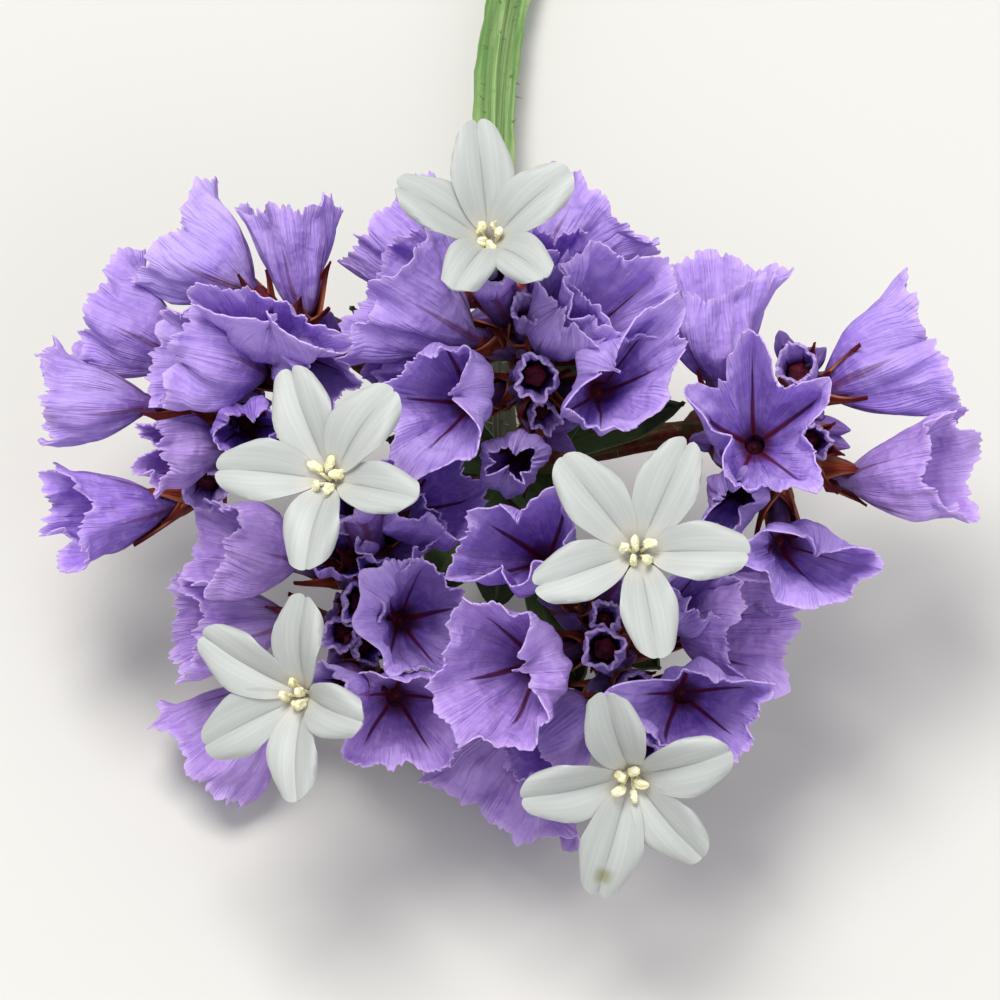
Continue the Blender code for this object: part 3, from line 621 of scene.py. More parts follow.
SPIKES = {
    "left": {
        "rachis": (
            (-10.3, 10.3, -4.5), (-13.3, 11.3, -1.5), (-15.9, 10.1, -0.5),
            (-17.5, 7.5, -0.5), (-18.8, 4.7, -1.0), (-19.8, 0.8, -2.5),
        ),
        "calyces": (
            row((-17.1, 14.5, 0.5), (-22.6, 18.6, -1.5), 4.5, 0.6, None, PALE, ((90, 80, 4, -0.8), (270, 80, 0, 0.5))),
            row((-13.3, 12.8, 1.0), (-14.3, 20.0, 1.0), 2.2, 0.8, None, SOFT, ((0, 40, 10, 0.6),)),
            row((-21.6, 9.6, -1.5), (-28.0, 12.7, -2.5), 4.3, 0.6, None, SOFT, ((270, 80, 0, 0.4),), 18),
            row((-24.1, 6.5, 1.0), (-31.1, 6.9, 0.5), 3.1, 0.8, None, SOFT, ((90, 70, -8, -0.3),)),
            row((-16.1, 8.5, 4.0), (-22.0, 10.0, 7.5), 4.0, 0.7, 100, SOFT, ((346, 90, -34, 1.0),), 10),
            row((-15.9, 10.0, 4.0), (-15.2, 12.0, 10.3), 5.1, 0.3, -22, SOFT, ((250, 100, -40, 0.8), (60, 60, -12, -0.4))),
            row((-19.1, 3.5, 2.5), (-23.3, 3.5, 7.0), 2.6, 0.8, 90, PINK, ((0, 90, -30, 0.6),)),
            row((-23.0, -0.5, -1.0), (-30.2, -1.1, 0.5), 3.2, 0.8, None, PLAIN, ((90, 70, 0, -1.5), (270, 80, 0, 0.7))),
            row((-17.0, 5.0, 2.5), (-16.5, 4.7, 8.0), 2.2, 0.8, 0, PLAIN, ((90, 100, -25, 0.4),)),
            row((-13.9, 9.7, 2.5), (-12.3, 8.2, 8.5), 2.7, 0.7, -30, SOFT, ((137, 90, -35, 0.4),)),
        ),
        "buds": (((-20.0, 0.8, 4.0), 1.3),),
        "flowers": (),
    },
    "top": {
        "rachis": (
            (3.2, 3.0, -4.5), (2.5, 5.7, -0.8), (1.8, 8.7, 0.0),
            (1.1, 11.7, -0.8), (0.5, 13.7, -2.0),
        ),
        "calyces": (
            row((-3.1, 14.5, 0.0), (-7.8, 19.2, -2.0), 4.3, 0.6, None, SOFT),
            row((-2.1, 11.0, 3.0), (-8.5, 14.4, 5.5), 4.7, 0.55, None, SOFT, ((90, 80, -8, 0.5),), 20),
            row((-3.3, 9.9, 0.5), (-8.9, 9.9, 2.4), 3.3, 0.6, None),
            row((-2.0, 6.5, 5.0), (-4.0, 7.0, 11.2), 4.2, 0.9, 30, SOFT, ((0, 65, -95, 0.5), (250, 50, 14, 0.3)), 175),
            row(
                (1.3, 2.8, 2.3), (0.7, 2.4, 7.9), 2.6, 0.85, 0, SOFT,
                ((90, 100, -30, 0.3), (180, 80, -20, 0.6), (270, 100, -28, 0.5), (0, 80, -16, 0.0)), 0, 0.3,
            ),
            row((3.0, 10.3, 3.5), (4.5, 13.1, 9.0), 2.8, 0.5, 110, SOFT, ((242, 90, -24, 0.6),)),
            row((3.0, 14.8, 0.0), (7.0, 20.4, -1.0), 4.6, 0.5, None, SOFT),
            row((3.0, 13.3, 1.5), (4.4, 16.9, 5.5), 2.3, 0.7, 0, PLAIN, ((249, 90, -28, 0.3),)),
            row((5.2, 10.8, 3.0), (8.1, 14.0, 7.8), 4.0, 0.75, 15, SOFT, ((48, 80, 6, 0.6), (228, 60, -12, -0.6)), 50),
            row((6.7, 7.3, 5.0), (8.1, 8.8, 11.3), 5.2, 0.45, 46, SOFT, ((150, 60, -48, 0.5), (46, 40, 10, 0.3)), 62),
        ),
        "buds": (((2.5, 8.3, 8.6), 1.3), ((2.0, 12.8, 7.0), 0.95), ((3.0, 5.5, 5.5), 0.9)),
        "flowers": (((-0.7, 16.8, 12.0), 27, 90, 97, 40),),
    },
    "right": {
        "rachis": (
            (13.3, 4.7, -4.5), (16.0, 3.2, -1.0), (19.0, 2.1, -0.5),
            (20.5, 4.7, -0.5), (20.5, 7.7, -1.5), (19.7, 9.5, -2.0),
        ),
        "calyces": (
            row((14.8, 8.0, 0.3), (14.4, 15.6, 0.6), 4.3, 0.75, None, SOFT, ((90, 80, 0, -1.8), (270, 80, 4, 1.2)), 60),
            row(
                (17.1, 3.7, 5.0), (17.5, 5.3, 11.3), 4.9, 0.8, 95, SOFT,
                ((96, 55, 0, 1.4), (255, 60, 0, -0.6), (340, 40, 0, -0.5), (164, 50, 0, -0.9)), 96, 1.7,
            ),
            row((22.1, 7.5, 0.5), (29.4, 10.9, 0.0), 5.0, 0.55, None, (0.0, 0.35), ((90, 90, -5, 0.3),), 90),
            row((23.7, 1.3, 1.5), (30.8, 2.5, 4.0), 3.3, 0.8, None, PINK, ((90, 80, 0, -0.9), (270, 80, 0, 0.8))),
            row((19.0, -3.0, 3.0), (21.5, -3.8, 8.8), 4.4, 0.5, -16, SOFT, ((74, 85, -52, 0.4), (254, 80, 12, 0.0)), 200),
            row((16.3, 0.7, 2.5), (15.2, -0.1, 8.0), 2.4, 0.8, 30, SOFT, ((90, 110, -30, 0.3), (270, 110, -25, 0.4))),
        ),
        "buds": (((20.0, 9.2, 4.0), 1.3), ((21.3, 4.0, 4.5), 1.1)),
        "flowers": (),
    },
    "lower_left": {
        "rachis": (
            (-7.2, -1.0, -4.5), (-8.7, -4.0, -1.0), (-9.9, -8.0, -0.5),
            (-10.8, -12.0, -1.0), (-11.3, -13.7, -2.5),
        ),
        "calyces": (
            row((-6.6, -8.1, 3.0), (-4.7, -7.7, 8.3), 3.8, 0.75, 90, SOFT, ((180, 60, 46, 0.8),), 10),
            row((-7.0, -13.3, 3.0), (-6.4, -14.9, 9.0), 4.0, 0.85, -10, PINK, ((262, 80, 10, -0.9), (90, 70, -20, 0.2)), 300),
            row((-14.7, -8.1, 0.5), (-21.8, -8.8, 2.0), 3.3, 0.8, None, PINK, ((90, 70, 0, -0.8),)),
            row((-15.5, -13.3, -2.6), (-20.6, -18.0, -5.0), 4.4, 0.6, None, PINK),
            row((-13.9, -4.1, 2.5), (-19.0, -2.7, 6.0), 3.9, 0.75, 100, PINK, ((345, 90, -30, 0.6),)),
            row((-10.3, -4.0, 1.5), (-11.0, -3.0, 6.5), 2.4, 0.8, 0, PLAIN, ((90, 100, -25, 0.4),)),
            row((-8.1, -2.7, 1.5), (-6.5, -1.9, 6.5), 3.3, 0.8, 60, SOFT, ((270, 90, -20, 0.6),)),
            row((-6.5, -0.8, 1.0), (-4.4, 0.8, 6.0), 4.4, 0.9, 45, PLAIN, ((230, 90, -8, 0.5),)),
        ),
        "buds": (((-9.2, -6.9, 7.8), 1.3), ((-10.8, -9.0, 5.5), 1.0), ((-8.7, -10.0, 5.5), 0.95)),
        "flowers": (((-11.0, 1.2, 13.0), 28, 140, 114, 20), ((-12.7, -12.9, 12.4), 36, 180, 147, 23)),
    },
    "lower_right": {
        "rachis": (
            (4.0, -6.0, -4.5), (6.0, -8.0, -1.0), (7.5, -11.0, -0.5),
            (8.7, -14.0, -1.0), (9.3, -16.0, -2.5),
        ),
        "calyces": (
            row((3.0, -4.0, 4.4), (0.9, -2.8, 10.7), 4.9, 0.6, 20, SOFT, ((262, 60, 14, 0.3), (90, 70, -14, 0.4)), 60),
            row((2.4, -11.0, 6.4), (0.0, -11.5, 12.9), 5.0, 0.92, 100, PINK, ((15, 60, -88, 0.6), (262, 80, -10, 1.0)), 265, 0.3),
            row((5.7, -13.7, 1.5), (1.3, -17.0, 6.0), 3.9, 0.7, None, SOFT, ((90, 80, -10, 0.4),)),
            row((2.7, -15.1, -1.6), (-0.9, -21.5, -2.7), 5.3, 0.5, None, PINK),
            row((12.3, -13.1, 4.0), (13.9, -14.1, 10.0), 4.2, 0.75, -5, SOFT, ((172, 55, 52, 0.5), (80, 60, -18, 0.2)), 20),
            row((12.3, -8.7, 2.0), (18.0, -8.8, 5.5), 3.9, 0.8, None, PINK, ((90, 70, 0, -0.6), (270, 70, 0, 0.5))),
            row((11.0, -8.0, 2.5), (13.7, -6.0, 8.0), 2.9, 0.7, 35, SOFT, ((215, 90, -25, 0.4),)),
            row((13.3, -7.3, -1.0), (18.3, -5.7, 1.5), 3.2, 0.6, None, PINK),
        ),
        "buds": (((7.0, -10.0, 8.0), 1.3), ((7.1, -7.7, 6.0), 0.95), ((9.3, -12.7, 6.0), 1.1)),
        "flowers": (((9.1, -3.5, 13.0), 8, 96, -8, 18), ((8.7, -18.1, 11.0), 25, 260, 251, 21)),
    },
}
print("calyces:", sum(len(plan["calyces"]) for plan in SPIKES.values()))

# %% [markdown]
# ## Rachis, bracts, buds and sleeves
#
# The rachis is a ribbed rod along a smooth line through its points. Where each calyx grows from it
# there is a bract, a keeled scale with a sharp tip, dark red-brown with a green keel. Buds are narrow
# tubes with a pale, ruffled ring for a rim, and the calyx of an open flower is still as narrow as a
# sleeve round the flower's tube.

# %% Rods
FORK = (-0.3, 2.0, -12.0)
ROD_STEPS = 8
END_SHARE = 0.02


def smooth_path(knots, steps):
    """Points along a smooth curve through the knots, steps to each stretch."""
    ends = [knots[0] * 2 - knots[1], *knots, knots[-1] * 2 - knots[-2]]
    path = []
    for a, b, c, d in zip(ends, ends[1:], ends[2:], ends[3:]):
        for step in range(steps):
            t = step / steps
            bend, twist = a * 2 - b * 5 + c * 4 - d, b * 3 - a - c * 3 + d
            path.append(b + ((c - a) * t + bend * t**2 + twist * t**3) / 2)
    return path + [knots[-1]]


def nearest(path, point):
    return min(path, key=lambda place: (place - point).length)


def tangent(path, place):
    return (path[min(place + 1, len(path) - 1)] - path[max(place - 1, 0)]).normalized()


def rod(name, path, radii, sides, upwards=None, tint=(0, 0)):
    """A rod along a path with closed ends. Each point has one radius, or one for each side."""
    side, rows = V, []
    angles = np.arange(sides) * math.tau / sides
    for number, point in enumerate(path):
        side, other = across(tangent(path, number), upwards or side)
        outwards = np.outer(np.cos(angles), as_array(side)) + np.outer(np.sin(angles), as_array(other))
        rows.append(as_array(point) + outwards * np.broadcast_to(radii[number], (sides,))[:, None])
    rows.insert(0, as_array(path[0]) + (rows[0] - as_array(path[0])) * END_SHARE)
    rows.append(as_array(path[-1]) + (rows[-1] - as_array(path[-1])) * END_SHARE)
    place = (np.cos(angles), np.sin(angles), np.linspace(0, 1, len(rows))[:, None])
    made = laid(name, rolled_blank, np.array(rows), place, tint)
    only(made)
    bpy.ops.object.mode_set(mode="EDIT")
    bpy.ops.mesh.select_all(action="SELECT")
    bpy.ops.mesh.fill_holes(sides=0)
    bpy.ops.object.mode_set(mode="OBJECT")
    return made


print("rods ready")

# %% Bract shape
BRACT_LENGTH = 4.8
BRACT_STAND = 0.75
BRACT_HALF = 1.4
BRACT_FOOT = 0.6
BRACT_BELLY_AT = 0.45
BRACT_TIP_OUT = 1.0
BRACT_AWN = 0.9
BRACT_ROWS = 13
BRACT_COLUMNS = 7


def bract(root, axis, outwards, scale=1.0):
    """A keeled scale that hugs the foot of a calyx and ends in an awn."""
    side = as_array(axis.cross(outwards).normalized())
    along, out = as_array(axis), as_array(outwards)
    t = np.linspace(0, 1, BRACT_ROWS)[:, None, None]
    x = np.linspace(-1, 1, BRACT_COLUMNS)[None, :, None]
    lower = BRACT_FOOT + (1 - BRACT_FOOT) * np.sin(np.pi / 2 * np.clip(t / BRACT_BELLY_AT, 0, 1))
    upper = np.clip((1 - t) / (1 - BRACT_BELLY_AT), 0, 1) ** 1.25
    half = BRACT_HALF * scale * np.where(t < BRACT_BELLY_AT, lower, upper * 0.95 + 0.05)
    stretch = (BRACT_LENGTH * t + BRACT_AWN * t**6) * scale
    stand = BRACT_STAND + BRACT_TIP_OUT * t**1.6 + 0.2 * (1 - np.abs(x)) ** 2 - 0.55 * (x * half) ** 2
    foot = as_array(root + axis * BRACT_STAND)
    grid = foot + along * stretch + out * stand + side * (half * x)
    return laid("bract", flat_blank, grid, (x[:, :, 0], 0 * x[:, :, 0], t[:, :, 0]))


print("bract:", BRACT_ROWS, "rows")

# %% Bark, bracts and rachis
BARK_ROUGHNESS = 0.7
BARK_GLOSS = 0.15


def bract_skin():
    made, shader, start = new_material("bract_skin", BARK_ROUGHNESS, BARK_GLOSS)
    place = start.node("Attribute", {"attribute_name": "place"}, output="Vector")
    x = place.node("SeparateXYZ", {}, {0: place}, output=0)
    t = place.node("SeparateXYZ", {}, {0: place}, output=2)
    keel = x.sum("ABSOLUTE", x).step(0.05, 0.45, 1.0, 0.0)
    margin = x.sum("ABSOLUTE", x).step(0.7, 0.95)
    lines = start.node(
        "TexNoise", {}, {"Vector": place.node("Mapping", {}, {0: place, 3: (9, 9, 1.2)}), "Scale": 1.0, "Detail": 3.0}
    )
    paint = lines.step(0.35, 0.65).paint(colour(96, 30, 24), colour(150, 62, 38))
    paint = (keel * t.step(0.1, 0.6, 0.8, 0.2)).paint(paint, colour(92, 84, 40))
    paint = (margin * 0.55).paint(paint, colour(176, 116, 84))
    paint = t.step(0.65, 0.95).paint(paint, colour(84, 18, 26))
    link(paint, shader, "Base Color")
    bump = start.node("Bump", {}, {"Strength": 0.5, "Distance": 0.0001, "Height": lines})
    link(bump, shader, "Normal")
    return made


def withered_red():
    made, shader, start = new_material("withered_red", BARK_ROUGHNESS, BARK_GLOSS)
    spot = start.node("TexCoord", {}, {}, output="Object")
    patches = spot.noise(900.0, 3.0)
    grain = spot.noise(3000.0, 3.0)
    paint = patches.step(0.35, 0.65).paint(colour(46, 8, 26), colour(88, 18, 36))
    paint = (grain.step(0.5, 0.75) * 0.3).paint(paint, colour(120, 50, 56))
    link(paint, shader, "Base Color")
    bump = start.node("Bump", {}, {"Strength": 0.7, "Distance": 0.0002, "Height": patches + grain * 0.5})
    link(bump, shader, "Normal")
    return made


def rachis_skin():
    made, shader, start = new_material("rachis_skin", BARK_ROUGHNESS, BARK_GLOSS)
    spot = start.node("TexCoord", {}, {}, output="Object")
    patches = start.node("TexNoise", {}, {"Vector": spot, "Scale": 420.0, "Detail": 4.0})
    grain = start.node("TexNoise", {}, {"Vector": spot, "Scale": 2200.0, "Detail": 3.0})
    paint = patches.step(0.4, 0.62).paint(colour(78, 26, 22), colour(74, 70, 34))
    paint = (grain.step(0.4, 0.7) * 0.4).paint(paint, colour(128, 62, 40))
    link(paint, shader, "Base Color")
    bump = start.node("Bump", {}, {"Strength": 0.6, "Distance": 0.00015, "Height": grain})
    link(bump, shader, "Normal")
    return made


BRACT_SKIN = bract_skin()
RACHIS_SKIN = rachis_skin()
WITHERED = withered_red()
print("materials:", BRACT_SKIN.name, RACHIS_SKIN.name)

# %% Spikes
PAPER_THICKNESS = 0.1
BUD_THICKNESS = 0.2
BRACT_THICKNESS = 0.14
ROOTS_PER_STRETCH = 12
FIRST_ROOT = 6
RACHIS_R = 1.4
RACHIS_TAPER = 0.25
RACHIS_SIDES = 20
SHOULDER_AT = 0.6
FOOT_NARROWER = 0.7
SHOULDER_NARROWER = 0.95
SLEEVE_R = 1.5
SLEEVE_STRAIGHT = 3.0
COROLLA_ABOVE_SLEEVE = 1.9
BUD_SIDES = 60
BUD_NARROWER = 0.88
BUD_TINT = (0.15, 0.35)
BUD_CURL = ((0, 180, 12, 0), (180, 180, 12, 0))
MORE_BRACTS = ((180, 0.9), (75, 0.7), (255, 0.75))
CLOSED_BUD_EVERY = 2
CLOSED_BUD_LENGTH = 4.4
CLOSED_BUD_R = 0.7
CLOSED_BUD_SIDES = 20
CLOSED_BUD_ROWS = 12
PLUG_SIDES = 20
PLUG_HEIGHTS = (-1.8, -1.2, -0.8, -0.6, -0.4)
PLUG_SHARES = (0.7, 0.95, 1.0, 0.6, 0.2)
BUD_PLUG_DEPTH = 1.0
PLUG_IN_THROAT = 0.8
PLUG_IN_BUD = 0.62
fine_chance = random.Random("calyces")


def spike(name, plan):
    """Dresses one spike: its rachis, bracts, calyces, buds and sleeves."""
    node = "spike_" + name
    knots = [head(*FORK), *(head(*point) for point in plan["rachis"])]
    path = smooth_path(knots, ROD_STEPS)[ROD_STEPS:]
    radii = []
    for number in range(len(path)):
        thin = RACHIS_R * (1 - RACHIS_TAPER * number / (len(path) - 1))
        radii.append([thin * (1 + 0.07 * math.cos(5 * math.tau * i / RACHIS_SIDES)) for i in range(RACHIS_SIDES)])
    dress(rod("rachis_" + name, path, radii, RACHIS_SIDES), RACHIS_SKIN, node)

    roots = smooth_path(knots[1:], ROOTS_PER_STRETCH)[FIRST_ROOT:]
    chance = random.Random(node)
    calyces, buds, bracts, plugs, buds_shut = [], [], [], [], []

    def rooted(to):
        """The nearest root on the rachis, given two bracts in the direction of the tube it carries."""
        root = nearest(roots, to)
        axis = (to - root).normalized()
        first, second = across(axis, U)
        turn = chance.uniform(0, math.tau)
        for more, scale in ((0, 1.0), *MORE_BRACTS):
            out = first * math.cos(turn + math.radians(more)) + second * math.sin(turn + math.radians(more))
            bracts.append(bract(root, axis, out, scale))
        return root

    def plug(at, axis, radius):
        """The withered flower that closes a calyx's throat."""
        path = [at + axis * height for height in PLUG_HEIGHTS]
        sizes = [radius * share for share in PLUG_SHARES]
        lobed = [[size * (1 + 0.1 * math.cos(math.tau * i / 4)) for i in range(PLUG_SIDES)] for size in sizes]
        plugs.append(rod("plug", path, lobed, PLUG_SIDES, U))

    def closed_bud(root, axis):
        """A bud that is still shut: five pleats drawn together in a point."""
        length = CLOSED_BUD_LENGTH * fine_chance.uniform(0.7, 1.1)
        path, sizes = [], []
        for step in range(CLOSED_BUD_ROWS):
            share = step / (CLOSED_BUD_ROWS - 1)
            plump = CLOSED_BUD_R * (0.35 + 0.65 * math.sin(math.pi * share**0.8) ** 0.8) * (1 - share**6 * 0.7)
            folds = [1 + 0.16 * math.cos(5 * math.tau * i / CLOSED_BUD_SIDES + share) for i in range(CLOSED_BUD_SIDES)]
            path.append(root + axis * (length * share))
            sizes.append([plump * fold for fold in folds])
        buds_shut.append(rod("closed_bud", path, sizes, CLOSED_BUD_SIDES, U, (0.0, 0.0)))

    def narrow(root, shoulder, mouth, radius):
        """A calyx that is still as narrow as a tube."""
        rim = [fine_chance.uniform(-0.4, 0.4) for _ in range(RIM_POINTS)]
        sizes = (radius * FOOT_NARROWER, radius * SHOULDER_NARROWER)
        shape = (radius, 0.85, 90, rim, fine_chance, BUD_TINT, BUD_CURL, 0, 0.2, sizes, BUD_SIDES, 0.75)
        buds.append(calyx(root, shoulder, mouth, *shape))

    for throat, mouth, half_width, flatness, degrees, tint, folds, turn, star in plan["calyces"]:
        throat, mouth = head(*throat), head(*mouth)
        root = rooted(throat)
        rim = [chance.uniform(-1, 1) for _ in range(RIM_POINTS)]
        shape = (half_width, flatness, degrees, rim, fine_chance, tint, folds, turn, star)
        calyces.append(calyx(root, throat, mouth, *shape, (TUBE_BASE_R, THROAT_R), CALYX_SIDES, 1.0))
        plug(throat, (mouth - throat).normalized(), THROAT_R * PLUG_IN_THROAT)
    for mouth, radius in plan["buds"]:
        mouth, radius = head(*mouth), radius * BUD_NARROWER
        root = rooted(mouth)
        narrow(root, root.lerp(mouth, SHOULDER_AT), mouth, radius)
        axis = (mouth - root).normalized()
        plug(mouth - axis * BUD_PLUG_DEPTH, axis, radius * PLUG_IN_BUD)
    for centre, off_axis, towards, _, _ in plan["flowers"]:
        axis = lean(off_axis, towards)
        mouth = head(*centre) - axis * COROLLA_ABOVE_SLEEVE
        shoulder = mouth - axis * SLEEVE_STRAIGHT
        narrow(rooted(shoulder), shoulder, mouth, SLEEVE_R)

    for root in roots[::CLOSED_BUD_EVERY]:
        spread = lean(fine_chance.uniform(10, 50), fine_chance.uniform(0, 360))
        closed_bud(root, spread)

    for title, sheets, thickness, material in (
        ("calyces_", calyces, PAPER_THICKNESS, PAPER),
        ("buds_", buds, BUD_THICKNESS, PAPER),
        ("bracts_", bracts, BRACT_THICKNESS, BRACT_SKIN),
    ):
        piece = joined(title + name, sheets)
        thicken(piece, thickness)
        dress(piece, material, node)
    dress(joined("plugs_" + name, plugs), WITHERED, node)
    dress(joined("closed_buds_" + name, buds_shut), PAPER, node)


for name, plan in SPIKES.items():
    spike(name, plan)

# %% [markdown]
# ## White corollas
#
# Each corolla has five petals, folded along the middle like a half-open book, with a notch at the
# tip. Light falls on one side of the fold and leaves the other in shade, which is most of what a
# person sees of their shape, so the fold is in the mesh. A dark line of painted shade runs along the
# fold, and painted shade darkens the petals' feet and the top of the tube in the throat. The five
# anthers crowd in the throat.

# %% Petal white
PETAL_ROUGHNESS = 0.5


def petal_white():
    made, shader, start = new_material("petal_white", PETAL_ROUGHNESS)
    place = start.node("Attribute", {"attribute_name": "place"}, output="Vector")
    tint = start.node("Attribute", {"attribute_name": "tint"}, output="Vector")
    x, _, t = place.parts()
    stained, tube, _ = tint.parts()
    veins = place.noise(1.0, 2.0, (7, 7, 1))
    spot = start.node("TexCoord", {}, {}, output="Object")
    grain = spot.noise(2600.0, 2.0)
    off_fold = x.sum("ABSOLUTE", x)
    # Painted shade: a dark line along the fold in the middle of the petal.
    painted_crease_shade = off_fold.step(0.0, 0.1, 1.0, 0.0) * t.step(0.6, 0.85, 1.0, 0.0)
    paint = veins.step(0.3, 0.7).paint(colour(187, 190, 186), colour(197, 200, 195))
    paint = (painted_crease_shade * 0.5).paint(paint, colour(140, 146, 148))
    paint = (t.step(0.05, 0.34, 1.0, 0.0) * 0.6).paint(paint, colour(222, 216, 204))
    # Painted shade where the petals' feet meet in the throat.
    paint = t.step(0.0, 0.12, 0.6, 0.0).paint(paint, colour(120, 110, 112))
    stain = stained * t.step(0.72, 0.8) * t.step(0.84, 0.92, 1.0, 0.0) * off_fold.step(0.1, 0.5, 1.0, 0.0)
    paint = (stain * 0.7).paint(paint, colour(142, 140, 84))
    # Painted shade: the top of the tube, in the throat between the stamens, is darkened.
    paint = (tube * t.step(0.86, 1.0) * 0.8).paint(paint, colour(84, 74, 84))
    link(paint, shader, "Base Color")
    bump = start.node("Bump", {}, {"Strength": 0.1, "Distance": 0.0001, "Height": veins * 0.4 + grain * 0.5})
    link(bump, shader, "Normal")
    let_light_through(made, shader, 0.25, paint)
    return made


def pollen_cream():
    made, shader, start = new_material("pollen_cream", 0.8)
    spot = start.node("TexCoord", {}, {}, output="Object")
    grains = start.node("TexVoronoi", {}, {"Vector": spot, "Scale": 6500.0}, output="Distance")
    patches = start.node("TexNoise", {}, {"Vector": spot, "Scale": 1200.0, "Detail": 2.0})
    paint = patches.step(0.35, 0.65).paint(colour(236, 229, 182), colour(246, 243, 216))
    paint = (grains.step(0.25, 0.6) * 0.35).paint(paint, colour(220, 206, 140))
    link(paint, shader, "Base Color")
    bump = start.node("Bump", {}, {"Strength": 0.6, "Distance": 0.0001, "Height": 1 - grains})
    link(bump, shader, "Normal")
    return made


WHITE = petal_white()
POLLEN = pollen_cream()
print("materials:", WHITE.name, POLLEN.name)

# %% Petal shape
PETALS = 5
PETAL_LENGTH = 7.9
PETAL_START = 0.06
PETAL_FOLD = 0.62
PETAL_HALF = 1.74
PETAL_SPREAD_AT = 0.15
PETAL_ROUNDING = 0.28
PETAL_WAIST = 0.82
PETAL_BROADER = 0.29
PETAL_NOTCH = 0.06
PETAL_ROWS = 20
PETAL_ACROSS = (0, 0.06, 0.14, 0.27, 0.43, 0.6, 0.75, 0.88, 0.97, 1)
PETAL_THICKNESS = 0.14


def petal(centre, axis, outwards, rise, chance, reach, slim, stained):
    """A petal that rises from the throat and meets its neighbours there, folded along its middle."""
    side, out, up = as_array(axis.cross(outwards).normalized()), as_array(outwards), as_array(axis)
    t = np.linspace(0, 1, PETAL_ROWS)[:, None, None]
    x = np.array([-share for share in PETAL_ACROSS[:0:-1]] + list(PETAL_ACROSS))[None, :, None]
    spread = 1 - np.exp(-((t / PETAL_SPREAD_AT) ** 1.2)) + 0.05
    half = PETAL_HALF * slim * spread * (PETAL_WAIST + PETAL_BROADER * np.sin(np.pi * t**1.6))
    rounded = PETAL_ROUNDING * (1 - np.sqrt(1 - np.abs(x) ** 2.5)) * t**2
    notch_at = chance.uniform(-0.12, 0.12)
    notch = PETAL_NOTCH * chance.uniform(0.2, 1.5) * np.exp(-np.abs((x - notch_at) / 0.13) ** 1.5) * t**8
    length = PETAL_LENGTH * reach
    stretch = length * (PETAL_START + (1 - PETAL_START) * (t - rounded - notch))
    width = half * x
    fold = PETAL_FOLD * (1 - 0.45 * t) * np.abs(width)
    arch = chance.uniform(0.1, 0.6) * np.sin(np.pi * t) - chance.uniform(0.1, 0.8) * t**3
    twist = chance.uniform(-0.22, 0.22) * width * t
    ripple = 0.1 * np.sin(7 * t + 2.5 * x + chance.uniform(0, 6)) * np.abs(x) * t
    lift = fold + arch + twist + ripple - 0.3 * np.abs(x) ** 3 * t
    along = out * math.cos(rise) + up * math.sin(rise)
    above = up * math.cos(rise) - out * math.sin(rise)
    grid = as_array(centre) + along * stretch + above * lift + side * width
    return laid("petal", flat_blank, grid, (x[:, :, 0], 0 * x[:, :, 0], t[:, :, 0]), (stained, 0))


print("petal:", PETAL_LENGTH, "mm")

# %% Corollas
STAMENS = 5
STAMEN_CIRCLE_R = 0.9
STAMEN_HEIGHT = 1.5
FILAMENT_R = 0.13
ANTHER_R = 0.32
ANTHER_LENGTH = 1.2
ANTHER_SIDES = 16
ANTHER_RINGS = 9
COROLLA_TUBE_R = 0.56
COROLLA_THROAT_R = 1.0
COROLLA_TUBE_SUNK = 1.8
COROLLA_THROAT_DEPTH = 0.9
STAINED_PETAL = (5, 0)
petal_chance = random.Random("petals")


def anther(tip, axis, chance):
    """Two plump, crumbly lobes side by side with a groove between them."""
    path, radii = [], []
    bow = around_face(chance.uniform(0, 360)) * chance.uniform(0.05, 0.3)
    long = ANTHER_LENGTH * chance.uniform(0.75, 1.1)
    for number in range(ANTHER_RINGS):
        share = -math.cos(math.pi * (number + 0.5) / ANTHER_RINGS)
        path.append(tip + axis * (long / 2 * share) + bow * (1 - share**2))
        lobes = [1 - 0.4 * abs(math.sin(math.tau * i / ANTHER_SIDES)) ** 6 for i in range(ANTHER_SIDES)]
        plump = ANTHER_R * (1 - share**4) ** 0.5
        radii.append([plump * lobe * chance.uniform(0.78, 1.18) for lobe in lobes])
    return rod("anther", path, radii, ANTHER_SIDES)


